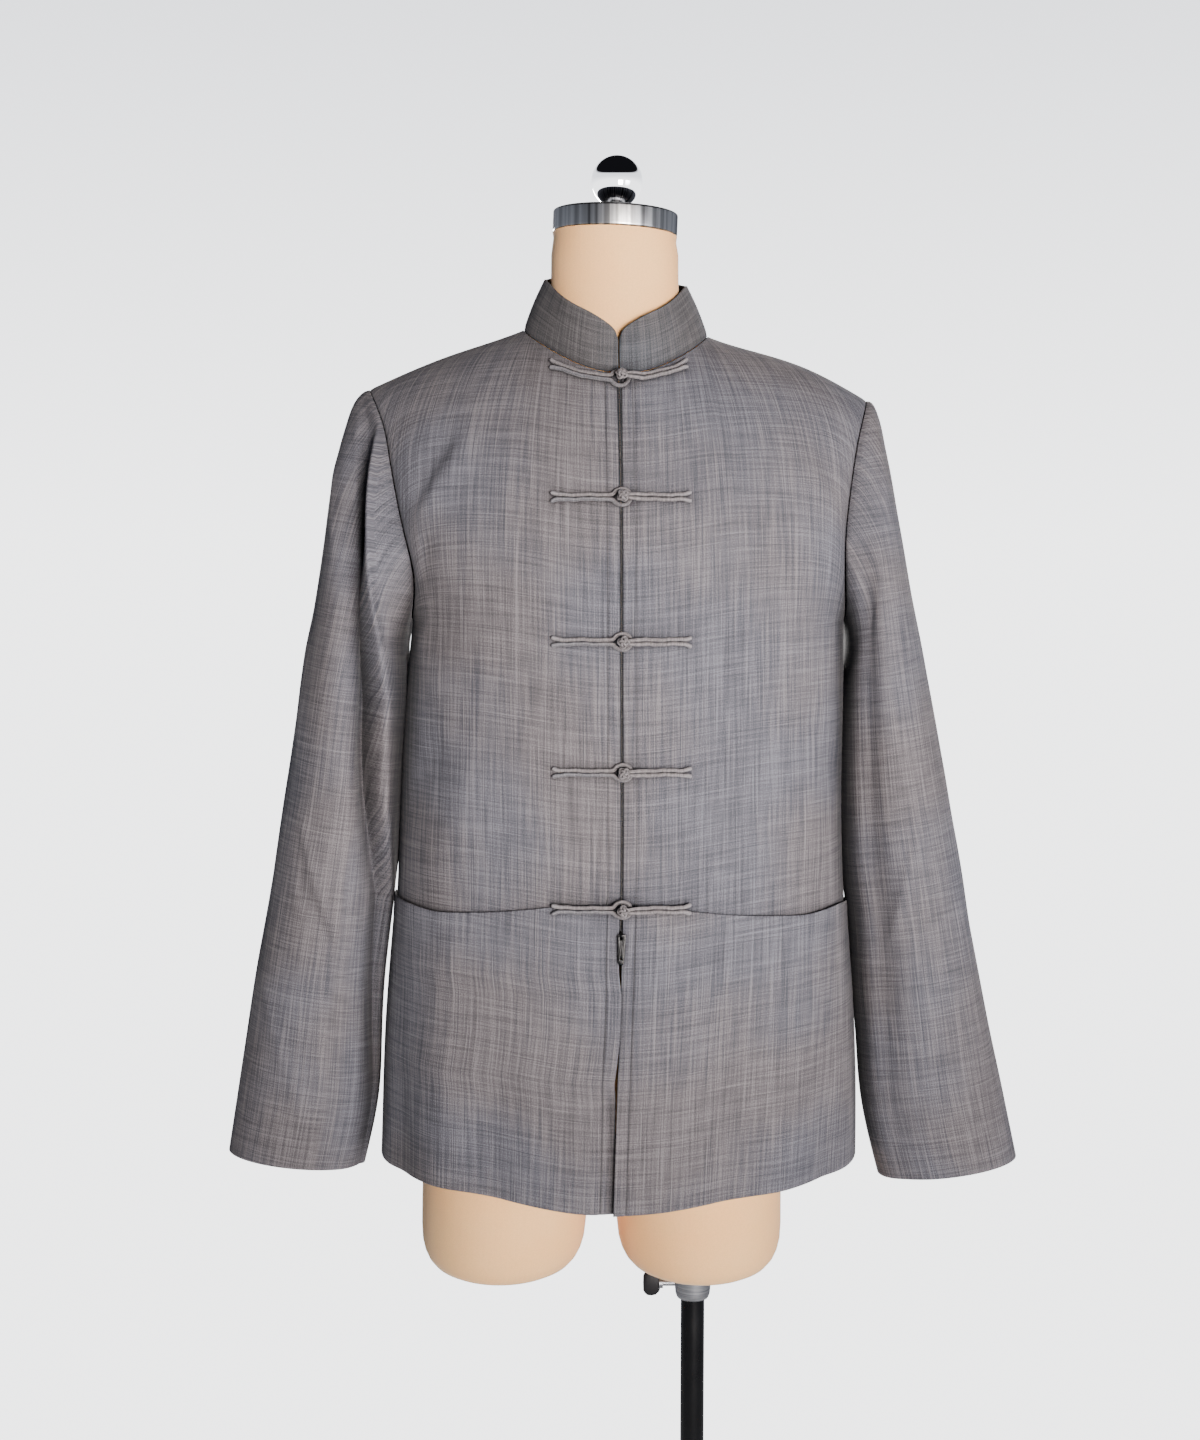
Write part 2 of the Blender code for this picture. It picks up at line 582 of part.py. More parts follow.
def collar_points(foot):
    """The stand collar: it climbs from the neckline, leans in, and rounds at its front corners."""
    steps = np.linalg.norm(np.diff(foot, axis=0), axis=1)
    along = np.concatenate([[0], np.cumsum(steps)])
    from_front = np.minimum(along, along[-1] - along) / COLLAR_CORNER
    round_share = np.sqrt(np.clip(1 - (1 - np.clip(from_front, 0, 1)) ** 2, 0, 1))
    tall = COLLAR_FRONT + (COLLAR_HEIGHT - COLLAR_FRONT) * round_share
    away = foot[:, :2] - np.array([FORM_SHIFT_NECK, SEAM_Y - 0.012])
    inward = -unit(np.column_stack([away, np.zeros(len(foot))]))
    lean = COLLAR_LEAN_FRONT + (COLLAR_LEAN_SIDE - COLLAR_LEAN_FRONT) * inward[:, 0] ** 4
    rise = np.linspace(0, 1, COLLAR_ROWS + 1)[:, None]
    up = np.array([0.0, 0.0, 1.0])
    direction = np.cos(lean)[:, None] * up + np.sin(lean)[:, None] * inward
    return foot[None] + (rise * tall)[..., None] * direction[None]


def sew_pocket(side, points, normals, suiting):
    """A patch pocket: the front's own points moved out, gaping a little at its mouth."""
    points = points.copy()
    near_mouth = np.zeros((len(points), 1))
    near_mouth[-1] = 1.0
    off = SEAM + near_mouth * np.interp(COLUMNS, MOUTH_GAPE["share"], MOUTH_GAPE["off"])
    pull_back(points, "first_column", SEAM)
    pull_back(points, "last_column", 4 * SEAM)
    pull_back(points, "first_row", 4 * SEAM)
    inner = points + normals * off[..., None]
    wall(f"pocket_{side_name(side)}", inner + normals * CLOTH, inner, suiting)


def sew_tape(side, points, normals, rows, finish):
    """A zip tape behind a front's edge, from the neck to just above the hem."""
    first, last = 0.0050, 0.0105
    edge, next_column = points[:, 0], points[:, 1]
    across = unit(next_column - edge)
    behind = CLOTH + SEAM
    keep = slice(1, len(rows) - 1)
    line = np.stack([edge + across * first, edge + across * last], axis=1)[keep]
    normal = np.stack([normals[:, 0], normals[:, 0]], axis=1)[keep]
    outer = line - normal * behind
    wall(f"zip_tape_{side_name(side)}", outer, outer - normal * TAPE, finish)


# ---------------------------------------------------------------- frogs


def frog_line(number, u):
    """Height of a frog's middle line at the distance u from the centre front."""
    bend = FROG_NECK_CURVE * u * u if number == 0 else 0.0
    return FROG_HEIGHTS[number] + bend


def frog_place(number, u, across, off):
    """World point of a place on a frog: along it, across it, and out from the cloth under it."""
    off += CLOTH + 2 * SEAM if number == FROG_ON_POCKET else 0.0
    centre = float(curve_through(FROG_HEIGHTS[number], CENTRE["z"], CENTRE["x"]))
    place, _ = on_front(centre + u, frog_line(number, u) + across, off)
    return place


def tube(name, path, radius, sides, finish):
    """A closed round tube along a path of points, its rings kept square to the path."""
    path = np.array([tuple(p) for p in path])
    along = unit(np.gradient(path, axis=0))
    out = np.array([0.0, -1.0, 0.0])
    rings = []
    for point, direction in zip(path, along):
        first = unit(np.cross(direction, out))
        second = np.cross(first, direction)
        angle = np.arange(sides) * 2 * math.pi / sides
        rings.append(point + radius * (np.cos(angle)[:, None] * first
                                       + np.sin(angle)[:, None] * second))
    return loft(name, rings, finish)


def loft(name, rings, finish, lid=None):
    """One closed body through rings of equal length, with flat ends or a lid of its own faces."""
    sides = len(rings[0])
    points = np.vstack(rings)
    top = len(points) - sides
    faces = [list(range(sides))[::-1]]
    faces += [[top + i for i in face] for face in (lid or [list(range(sides))])]
    for ring in range(len(rings) - 1):
        for i in range(sides):
            j = (i + 1) % sides
            base = ring * sides
            faces.append([base + i, base + j, base + sides + j, base + sides + i])
    return build(name, points, faces, finish)


LOOP_TABLE = {  # upper half of the loop: distance along, and half its opening
    "along": [-0.0565, -0.0440, -0.0320, -0.0210, -0.0130, -0.0085, -0.0050, -0.0015, 0.0020,
              0.0050, 0.0072, 0.0080],
    "across": [0.00215, 0.00215, 0.00215, 0.00215, 0.0023, 0.0036, 0.0052, 0.0061, 0.0059,
               0.0046, 0.0025, 0.0000],
}
KNOT_TABLE = {  # the knot half: along, out from the cloth, half width, half height
    "along": [0.0565, 0.0400, 0.0280, 0.0190, 0.0160, 0.0128, 0.0098, 0.0068, 0.0052],
    "out": [0.0024, 0.0024, 0.0024, 0.0026, 0.0036, 0.0054, 0.0068, 0.0076, 0.0080],
    "width": [0.0041, 0.0041, 0.0041, 0.0041, 0.0040, 0.0036, 0.0031, 0.0029, 0.0030],
    "height": [0.0020, 0.0020, 0.0020, 0.0020, 0.0020, 0.0019, 0.0018, 0.0020, 0.0026],
}


def make_frog(number, cord):
    """The loop half on the right front, and the knot half on the left one."""
    along, across = LOOP_TABLE["along"], LOOP_TABLE["across"]
    upper = list(zip(along, across))
    route = upper + [(u, -v) for u, v in upper[-2::-1]]
    off = CORD_RADIUS + SEAM
    path = [frog_place(number, u, v, off) for u, v in route]
    tube(f"frog_loop_{number + 1}", path, CORD_RADIUS, 6, cord)

    sides, rings = 8, []
    angles = (np.arange(sides) + 0.5) * 2 * math.pi / sides
    for u, out, width, height in zip(*KNOT_TABLE.values()):
        ring = [frog_place(number, u, width * math.cos(a), out + height * math.sin(a))
                for a in angles]
        rings.append(np.array([tuple(p) for p in ring]))
    for turn in np.radians([-38, -15, 10, 35, 62, 85]):
        u, size = -KNOT_RADIUS * math.sin(turn), KNOT_RADIUS * math.cos(turn)
        ring = [frog_place(number, u, size * math.cos(a), KNOT_HEIGHT + size * math.sin(a))
                for a in angles]
        rings.append(np.array([tuple(p) for p in ring]))
    loft(f"frog_knot_{number + 1}", rings, cord)


# ---------------------------------------------------------------- zip slider and pull


def box(name, low, high, finish):
    """A plain box between two corners."""
    corners = [(x, y, z) for z in (low[2], high[2]) for y in (low[1], high[1]) for x in (low[0], high[0])]
    faces = [[0, 1, 3, 2], [4, 5, 7, 6], [0, 1, 5, 4], [2, 3, 7, 6], [0, 2, 6, 4], [1, 3, 7, 5]]
    return build(name, corners, faces, finish, smooth=False)


def join(target, cutter, operation):
    """Adds or takes away another object with a Boolean, and keeps that object out of sight."""
    change = target.modifiers.new(operation.lower(), "BOOLEAN")
    change.operation = operation
    change.object = cutter
    change.solver = "EXACT"
    cutter.hide_render = True
    cutter.hide_viewport = True
    cutter.display_type = "WIRE"


def make_slider_and_pull(black):
    """The slider behind the fronts, its bail between them, and the pull tab hanging on the bail."""
    centre = float(curve_through(ZIP_AXIS_Z, CENTRE["z"], CENTRE["x"]))
    face = on_front(centre, ZIP_AXIS_Z)[0].y
    axis_y = face - AXIS_OUT
    width, depth, height = SLIDER
    back_y = face + CLOTH + SEAM
    slider = box("zip_slider", (centre - width / 2, back_y, ZIP_AXIS_Z - height / 2),
                 (centre + width / 2, back_y + depth, ZIP_AXIS_Z + height / 2), black)
    bail = box("bail", (centre - BAIL_THICKNESS / 2, axis_y - 0.0017, ZIP_AXIS_Z - 0.0030),
               (centre + BAIL_THICKNESS / 2, back_y + 0.001, ZIP_AXIS_Z + 0.0030), black)
    hole = box("bail_hole", (centre - 0.002, axis_y - 0.0010, ZIP_AXIS_Z - 0.0010),
               (centre + 0.002, axis_y + 0.0010, ZIP_AXIS_Z + 0.0010), black)
    join(slider, bail, "UNION")
    join(slider, hole, "DIFFERENCE")

    # The pull: a plate with a slot at its top, whose upper bar passes through the bail
    half, arm_in, bar = PULL_THICKNESS / 2, BAIL_THICKNESS / 2 + 0.0005, 0.0006
    plate_top, end = -0.0042, -PULL_LENGTH
    outline = [(-PULL_WIDTH_TOP / 2, bar), (PULL_WIDTH_TOP / 2, bar),
               (PULL_WIDTH_END / 2, end + 0.0016), (PULL_WIDTH_END / 2 - 0.0014, end),
               (-PULL_WIDTH_END / 2 + 0.0014, end), (-PULL_WIDTH_END / 2, end + 0.0016)]
    points = [(x, y, z) for y in (-half, half) for x, z in outline]
    count = len(outline)
    faces = [list(range(count)), [count + i for i in range(count)]]
    faces += [[i, (i + 1) % count, count + (i + 1) % count, count + i] for i in range(count)]
    pull = build("zip_pull", points, faces, black, smooth=False)
    pull.location = (centre, axis_y, ZIP_AXIS_Z)
    slot = box("pull_slot", (-arm_in, -0.002, plate_top), (arm_in, 0.002, -bar), black)
    slot.parent = pull
    eye = box("pull_eye", (-0.0011, -0.002, end + 0.0040), (0.0011, 0.002, end + 0.0062), black)
    eye.parent = pull
    join(pull, slot, "DIFFERENCE")
    join(pull, eye, "DIFFERENCE")
    return axis_y


# ---------------------------------------------------------------- dress form and stand


def oval(sides, power=1.0):
    """Points round an oval of half width and half depth 1, from the front towards the left."""
    angle = np.arange(sides) * 2 * math.pi / sides
    swing, ahead = np.sin(angle), -np.cos(angle)
    swing[np.abs(swing) < 1e-9] = 0.0
    ahead[np.abs(ahead) < 1e-9] = 0.0
    return np.sign(swing) * np.abs(swing) ** power, np.sign(ahead) * np.abs(ahead) ** power


def form_sections(sides):
    """Rings of the form's torso, from the hips to the ridge of the shoulders."""
    across, deep = oval(sides, FORM_ROUNDING)
    rings = []
    for z, right, left, front, back in zip(*FORM.values()):
        x = np.where(across < 0, right, left) * across
        y = np.where(deep < 0, front, back) * deep
        rings.append(np.column_stack([x, SEAM_Y + y, np.full(sides, z)]))
    return rings + [shoulder_ring(across, deep, share) for share in FORM_SHARES]


def shoulder_ring(across, deep, share):
    """A ring of the form inside the yoke of the jacket, which rests on its upper ones."""
    near_top = np.clip((share - 0.6) / 0.35, 0, 1)
    fill = FORM_DEPTH + (1 - FORM_DEPTH) * near_top**2 * (3 - 2 * near_top)
    ring = []
    for a, d in zip(across, deep):
        side, face = (-1 if a < 0 else 1), (-1 if d < 0 else 1)
        arm = float(curve_through(share, ARMHOLE["share"], ARMHOLE[side_name(side)]))
        out = arm * FORM_REACH * abs(a)
        point = upper_point(side, face, out, share)
        step = 0.004
        up = upper_point(side, face, out, share + step) - upper_point(side, face, out, share - step)
        along = upper_point(side, face, out + step, share) - upper_point(side, face, out - step, share)
        normal = unit(np.cross(along, up))
        normal *= 1.0 if normal[2] + face * normal[1] > 0 else -1.0
        depth = underarm_depth(face) * float(fall_off(face, share)) * fill * abs(d)
        point[1] = SEAM_Y + face * min(depth, abs(point[1] - SEAM_Y))
        ring.append(point - normal * (CLOTH + FORM_CLEAR))
    return np.array(ring)


def close_ridge(sides):
    """Faces that close the long thin top ring, each joining its front to its back."""
    half, quarter = sides // 2, sides // 4
    faces = []
    for first in (0, half):
        for i in range(quarter):
            front, back = first + i, (first + half - i) % sides
            next_front, next_back = front + 1, first + half - i - 1
            face = [front, next_front, next_back, back]
            faces.append(face if next_front != next_back else [front, next_front, back])
    return faces


def make_neck(sides, covering):
    """The neck, a separate loft that is joined to the torso."""
    across, deep = oval(sides)
    rings = [np.column_stack([FORM_SHIFT_NECK + wide * across, SEAM_Y - ahead + half * deep,
                              np.full(sides, z)])
             for z, wide, half, ahead in zip(*NECK.values())]
    top = np.column_stack([FORM_SHIFT_NECK + CAP_RADIUS * across,
                           SEAM_Y - NECK["ahead"][-1] + CAP_RADIUS * deep, np.full(sides, NECK_TOP)])
    top[:, 2] -= math.tan(NECK_TILT) * (top[:, 0] - FORM_SHIFT_NECK)
    return loft("neck", rings + [top], covering)


def make_form(covering):
    """The torso, neck and thighs as one smooth covered body, with the bore that the pole enters."""
    sides = 32
    torso = loft("form_torso", form_sections(sides), covering, close_ridge(sides))
    join(torso, make_neck(28, covering), "UNION")
    angle = np.arange(20) * 2 * math.pi / 20
    for side in (-1, 1):
        rings = []
        for z, size in ((THIGH_BOTTOM, 0.60), (THIGH_BOTTOM + 0.004, 0.80),
                        (THIGH_BOTTOM + 0.014, 0.925), (THIGH_BOTTOM + 0.030, 0.985),
                        (THIGH_BOTTOM + 0.060, 1.0), (THIGH_TOP, 1.03)):
            lean = (z - THIGH_BOTTOM) / (THIGH_TOP - THIGH_BOTTOM)
            rings.append(np.column_stack([
                THIGH_X[side] * (1 - 0.08 * lean) + THIGH_HALF_WIDTH * size * np.sin(angle),
                SEAM_Y - 0.003 - THIGH_HALF_DEPTH * size * np.cos(angle),
                np.full(20, z)]))
        join(torso, loft(f"thigh_{side_name(side)}", rings, covering), "UNION")
    bore = round_bar("pole_bore", BORE_RADIUS, THIGH_BOTTOM - 0.02, BORE_TOP, POLE_X, 24, covering)
    join(torso, bore, "DIFFERENCE")
    return torso


def round_bar(name, radius, low, high, x, sides, finish):
    """An upright round bar."""
    return turned(name, [(radius, low), (radius, high)], x, sides, finish)


def turned(name, profile, x, sides, finish, y=0.0):
    """A solid of revolution about an upright axis, from (radius, height) pairs, bottom to top."""
    angle = np.arange(sides) * 2 * math.pi / sides
    rings = [np.column_stack([x + r * np.cos(angle), y + r * np.sin(angle), np.full(sides, z)])
             for r, z in profile]
    return loft(name, rings, finish)


def make_cap_and_ball(steel, chrome):
    """The steel neck cap, tilted with the neck, and the ball knob on its short stem."""
    cap = turned("neck_cap", [(CAP_RADIUS - 0.001, 0.0), (CAP_RADIUS, 0.0012),
                              (CAP_RADIUS, CAP_HEIGHT - 0.0015),
                              (CAP_RADIUS - 0.0015, CAP_HEIGHT)], 0.0, 32, steel)
    ball_profile = [(0.0085, 0.0), (0.0085, 0.0022), (0.0060, 0.0034), (0.0062, 0.0050)]
    low = math.asin(0.0075 / BALL_RADIUS)
    middle = 0.0056 + BALL_RADIUS * math.cos(low)
    for turn in np.linspace(low, math.pi - 0.16, 11):
        ball_profile.append((BALL_RADIUS * math.sin(turn), middle - BALL_RADIUS * math.cos(turn)))
    ball = turned("cap_ball", ball_profile, 0.0, 20, chrome)
    seat = (FORM_SHIFT_NECK, SEAM_Y - NECK["ahead"][-1], NECK_TOP)
    for made, lift in ((cap, SEAM), (ball, CAP_HEIGHT + 2 * SEAM)):
        turn = Matrix.Rotation(NECK_TILT, 4, "Y")
        made.matrix_world = Matrix.Translation(seat) @ turn @ Matrix.Translation((0, 0, lift))


def make_stand(steel, grey, black):
    """The socket under the thigh, its clamp screw, the pole and the base plate."""
    socket = turned("pole_socket", [(SOCKET_RADIUS_END, SOCKET_BOTTOM),
                                    (SOCKET_RADIUS_END + 0.0015, SOCKET_BOTTOM + 0.004),
                                    (SOCKET_RADIUS_TOP - 0.001, THIGH_BOTTOM - 0.008),
                                    (SOCKET_RADIUS_TOP, THIGH_BOTTOM - SEAM)], POLE_X, 28, grey)
    join(socket, round_bar("socket_bore", BORE_RADIUS, SOCKET_BOTTOM - 0.01, THIGH_BOTTOM + 0.01,
                           POLE_X, 24, grey), "DIFFERENCE")
    screw_hole = lying_bar("screw_hole", SCREW_RADIUS + 0.0004, POLE_X - 0.03, POLE_X, grey)
    join(socket, screw_hole, "DIFFERENCE")

    tip = POLE_X - POLE_RADIUS - 0.0008
    screw = lying_bar("clamp_screw", SCREW_RADIUS, WING_X, tip, steel)
    join(screw, make_wing(black), "UNION")
    screw.data.transform(Matrix.Translation((-WING_X, 0.0, -SCREW_Z)))
    screw.location = (WING_X, 0.0, SCREW_Z)

    pole = turned("pole", [(POLE_RADIUS - 0.001, BASE_THICKNESS + SEAM),
                           (POLE_RADIUS, BASE_THICKNESS + SEAM + 0.001),
                           (POLE_RADIUS, POLE_TOP - 0.001), (POLE_RADIUS - 0.001, POLE_TOP)],
                  0.0, 24, black)
    pole.location.x = POLE_X
    plate = turned("base_plate", [(BASE_RADIUS - 0.001, 0.0), (BASE_RADIUS, 0.001),
                                  (BASE_RADIUS, BASE_THICKNESS - 0.002),
                                  (BASE_RADIUS - 0.002, BASE_THICKNESS)], 0.0, 48, black)
    hub = turned("hub", [(HUB_RADIUS, 0.002), (HUB_RADIUS, HUB_TOP - 0.002),
                         (HUB_RADIUS - 0.002, HUB_TOP)], POLE_X, 24, black)
    join(plate, hub, "UNION")
    join(plate, round_bar("hub_bore", POLE_RADIUS + 0.0004, BASE_THICKNESS, HUB_TOP + 0.01,
                          POLE_X, 24, black), "DIFFERENCE")


def hang_on_pole(still):
    """Parents everything that turns and climbs with the form to an empty on the pole's axis."""
    axis = bpy.data.objects.new("form_axis", None)
    bpy.context.scene.collection.objects.link(axis)
    axis.location.x = POLE_X
    for made in bpy.data.objects:
        if made is not axis and made.parent is None and made.name not in still:
            made.parent = axis
            made.matrix_parent_inverse = Matrix.Translation((-POLE_X, 0.0, 0.0))


def lying_bar(name, radius, from_x, to_x, finish):
    """A round bar along X at the clamp screw's height."""
    angle = (np.arange(12) + 0.5) * 2 * math.pi / 12
    rings = [np.column_stack([np.full(12, x), radius * np.cos(angle),
                              SCREW_Z + radius * np.sin(angle)]) for x in (from_x, to_x)]
    return loft(name, rings, finish)


def make_wing(finish):
    """The flat oval head of the clamp screw."""
    width, thick, height = WING
    rings = []
    for x, size in ((-width / 2, 0.55), (-width * 0.32, 0.85), (0.0, 1.0), (width * 0.32, 0.85),
                    (width / 2, 0.55)):
        angle = np.arange(12) * 2 * math.pi / 12
        rings.append(np.column_stack([
            np.full(12, WING_X + x), thick / 2 * np.cos(angle) * (0.7 + 0.3 * size),
            SCREW_Z + height / 2 * size * np.sin(angle)]))
    return loft("wing", rings, finish)


def make_all():
    """Clears the scene and puts the whole object together."""
    for old in list(bpy.data.objects):
        bpy.data.objects.remove(old)
    suiting = material("grey_wool_suiting", (0.215, 0.205, 0.212), 0.92)
    cord = material("grey_wool_cord", (0.190, 0.180, 0.185), 0.90)
    zip_black = material("black_zip", (0.012, 0.012, 0.014), 0.45)
    covering = material("cream_cotton_cover", (0.720, 0.560, 0.430), 0.85)
    steel = material("brushed_steel", (0.560, 0.550, 0.530), 0.32, 1.0)
    chrome = material("chrome", (0.720, 0.710, 0.700), 0.08, 1.0)
    grey = material("grey_cast_socket", (0.300, 0.300, 0.300), 0.45, 0.6)
    black = material("black_powder_coat", (0.012, 0.011, 0.014), 0.55)
    sew_jacket(suiting, zip_black)
    for number in range(len(FROG_HEIGHTS)):
        make_frog(number, cord)
    make_slider_and_pull(zip_black)
    make_form(covering)
    make_cap_and_ball(steel, chrome)
    make_stand(steel, grey, black)
    hang_on_pole(still=("pole", "base_plate", "hub", "hub_bore"))


make_all()
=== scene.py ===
"""A grey wool tang jacket on a limbless dress form with a pole stand.

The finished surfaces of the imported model, in metres, +Z up. The jacket's front faces -Y, and
right and left are the wearer's: right is -X. Sections follow the order of assembly.
"""

import math

import bmesh
import bpy
import numpy as np
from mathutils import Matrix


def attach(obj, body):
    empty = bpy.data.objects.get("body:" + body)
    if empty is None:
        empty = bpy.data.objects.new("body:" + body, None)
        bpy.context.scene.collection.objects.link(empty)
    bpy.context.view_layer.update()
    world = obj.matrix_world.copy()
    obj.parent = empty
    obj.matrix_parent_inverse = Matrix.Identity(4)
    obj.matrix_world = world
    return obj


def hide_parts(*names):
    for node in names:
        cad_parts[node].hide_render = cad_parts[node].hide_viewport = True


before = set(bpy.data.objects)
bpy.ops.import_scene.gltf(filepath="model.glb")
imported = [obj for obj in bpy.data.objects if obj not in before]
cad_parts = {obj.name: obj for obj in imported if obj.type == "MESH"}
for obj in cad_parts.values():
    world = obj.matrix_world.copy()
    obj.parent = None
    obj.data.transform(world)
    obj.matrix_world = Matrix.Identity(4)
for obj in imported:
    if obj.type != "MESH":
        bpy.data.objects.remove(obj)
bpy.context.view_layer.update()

# ------------------------------------------------------------------ base plate and pole
# A round steel plate with a welded hub carries a drawn steel tube, both powder coated black.
# The baked powder leaves a satin skin with a fine orange peel.

POLE_X = 0.0682
POLE_RADIUS = 0.0110
BASE_RADIUS = 0.2000
BASE_THICKNESS = 0.0080
HUB_RADIUS = 0.0210
HUB_TOP = 0.0400
GAP = 0.0003  # clearance between two pieces that only touch


def linear(hex_colour):
    """sRGB to linear: c / 12.92 up to 0.04045, and ((c + 0.055) / 1.055) ** 2.4 above it."""
    parts = np.array([int(hex_colour[i : i + 2], 16) for i in (1, 3, 5)]) / 255
    flat = np.where(parts <= 0.04045, parts / 12.92, ((parts + 0.055) / 1.055) ** 2.4)
    return (*map(float, flat), 1.0)


def add_node(tree, kind, settings=None, inputs=None):
    """Adds a shader node, sets its properties, and fills its inputs with values or with links."""
    made = tree.nodes.new(kind)
    for key, value in (settings or {}).items():
        setattr(made, key, value)
    for key, value in (inputs or {}).items():
        if isinstance(value, bpy.types.NodeSocket):
            tree.links.new(value, made.inputs[key])
        else:
            made.inputs[key].default_value = value
    return made


def new_finish(name, sockets):
    """A Principled material with constant values on its own sockets; returns it and its shader."""
    made = bpy.data.materials.new(name)
    made.use_nodes = True
    shader = made.node_tree.nodes["Principled BSDF"]
    for key, value in sockets.items():
        shader.inputs[key].default_value = value
    return made, shader


def ramp(tree, factor, stops):
    """A colour ramp from (place, hex colour) stops."""
    made = add_node(tree, "ShaderNodeValToRGB", None, {0: factor})
    row = made.color_ramp.elements
    while len(row) < len(stops):
        row.new(0.5)
    for element, (place, colour) in zip(row, stops):
        element.position, element.color = place, linear(colour)
    return made.outputs[0]


def put_together(name, points, quads, finish, body, stands_for=(), corner_uv=None,
                 crease=None):
    """One object from points (n, 3) and quads (m, 4). Corners closer than 2 micrometres are
    welded, which closes poles and wrapped edges, and the faces are turned outwards."""
    mesh = bpy.data.meshes.new(name)
    mesh.vertices.add(len(points))
    mesh.vertices.foreach_set("co", points.astype(np.float32).ravel())
    mesh.loops.add(quads.size)
    mesh.loops.foreach_set("vertex_index", quads.astype(np.int32).ravel())
    mesh.polygons.add(len(quads))
    mesh.polygons.foreach_set("loop_start", np.arange(len(quads), dtype=np.int32) * 4)
    mesh.update(calc_edges=True)
    if corner_uv is not None:
        layer = mesh.uv_layers.new(name="weave")
        layer.uv.foreach_set("vector", corner_uv.astype(np.float32).ravel())
    shape = bmesh.new()
    shape.from_mesh(mesh)
    bmesh.ops.remove_doubles(shape, verts=shape.verts, dist=2e-6)
    bmesh.ops.recalc_face_normals(shape, faces=shape.faces)
    shape.to_mesh(mesh)
    shape.free()
    mesh.materials.append(finish)
    mesh.shade_smooth()
    if crease is not None:
        mesh.set_sharp_from_angle(angle=math.radians(crease))
    made = bpy.data.objects.new(name, mesh)
    bpy.context.scene.collection.objects.link(made)
    if stands_for:
        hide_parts(*stands_for)
    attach(made, body)
    return made


def grid_quads(rows, columns, around=False, over=False):
    """Corner indices of a grid's quads; around closes its columns and over closes its rows."""
    index = np.arange(rows * columns).reshape(rows, columns)
    if around:
        index = np.concatenate([index, index[:, :1]], axis=1)
    if over:
        index = np.concatenate([index, index[:1]], axis=0)
    corners = (index[:-1, :-1], index[:-1, 1:], index[1:, 1:], index[1:, :-1])
    return np.stack(corners, axis=-1).reshape(-1, 4)


def soften(profile, radius, steps=4):
    """Rounds a profile's inner corners: each becomes a quadratic curve whose ends lie a radius
    away along both of its sides, or 0.45 of the shorter side."""
    profile = np.asarray(profile, float)
    before, here, after = profile[:-2], profile[1:-1], profile[2:]
    back, ahead = before - here, after - here
    longest = np.linalg.norm(back, axis=1), np.linalg.norm(ahead, axis=1)
    reach = np.minimum(radius, 0.45 * np.minimum(*longest))[:, None]
    first = here + back / longest[0][:, None] * reach
    last = here + ahead / longest[1][:, None] * reach
    t = np.linspace(0, 1, steps + 1)[None, :, None]
    curve = (1 - t) ** 2 * first[:, None] + 2 * t * (1 - t) * here[:, None] + t**2 * last[:, None]
    return np.vstack([profile[:1], curve.reshape(-1, 2), profile[-1:]])


def turned(name, profile, centre, finish, body, stands_for=(), sides=64, over=False,
           tilt=0.0):
    """A turned piece: every (radius, height) of the profile goes round the upright axis through
    centre, then the whole is tilted about Y by an angle through the centre."""
    profile = np.asarray(profile, float)
    angle = np.arange(sides) * 2 * math.pi / sides
    x = profile[:, :1] * np.cos(angle)
    y = profile[:, :1] * np.sin(angle)
    z = np.broadcast_to(profile[:, 1:], x.shape)
    along, up = x * math.cos(tilt) + z * math.sin(tilt), z * math.cos(tilt) - x * math.sin(tilt)
    points = np.stack([along, y, up], axis=-1) + np.asarray(centre, float)
    quads = grid_quads(len(profile), sides, around=True, over=over)
    return put_together(name, points.reshape(-1, 3), quads, finish, body, stands_for,
                        crease=40)


def powder_coat(name, colour, roughness):
    """Black polyester powder: noise of 1.2 mm gives its orange peel and its uneven gloss."""
    made, shader = new_finish(name, {"Base Color": linear(colour), "Roughness": roughness,
                                     "IOR": 1.45, "Specular IOR Level": 0.35})
    tree = made.node_tree
    place = add_node(tree, "ShaderNodeTexCoord").outputs["Object"]
    peel = add_node(tree, "ShaderNodeTexNoise", None, {"Vector": place, "Scale": 830.0, "Detail": 2.0})
    wear = add_node(tree, "ShaderNodeTexNoise", None, {"Vector": place, "Scale": 24.0, "Detail": 5.0})
    dull = add_node(tree, "ShaderNodeMapRange", None, {
        0: wear.outputs[0], 1: 0.35, 2: 0.75, 3: roughness - 0.06, 4: roughness + 0.12})
    bump = add_node(tree, "ShaderNodeBump", None, {
        "Height": peel.outputs[0], "Strength": 0.25, "Distance": 0.0002})
    tree.links.new(dull.outputs[0], shader.inputs["Roughness"])
    tree.links.new(bump.outputs[0], shader.inputs["Normal"])
    return made


black_powder = powder_coat("black_powder_coat_on_steel", "#050507", 0.28)
turned("base_plate_finish",
       soften([(0, 0), (BASE_RADIUS, 0), (BASE_RADIUS, BASE_THICKNESS), (0, BASE_THICKNESS)], 0.002),
       (0, 0, 0), black_powder, "base", ["base_plate"], sides=128)
hub_bore = POLE_RADIUS + 0.0004
turned("base_hub", soften([(hub_bore, BASE_THICKNESS), (HUB_RADIUS + 0.004, BASE_THICKNESS),
                           (HUB_RADIUS, BASE_THICKNESS + 0.004), (HUB_RADIUS, HUB_TOP),
                           (hub_bore, HUB_TOP), (hub_bore, BASE_THICKNESS)], 0.0015),
       (POLE_X, 0, 0), black_powder, "base")
turned("pole_tube", soften([(0, BASE_THICKNESS + GAP), (POLE_RADIUS, BASE_THICKNESS + GAP),
                            (POLE_RADIUS, 0.900), (0, 0.900)], 0.001),
       (POLE_X, 0, 0), black_powder, "pole", ["pole"], sides=48)

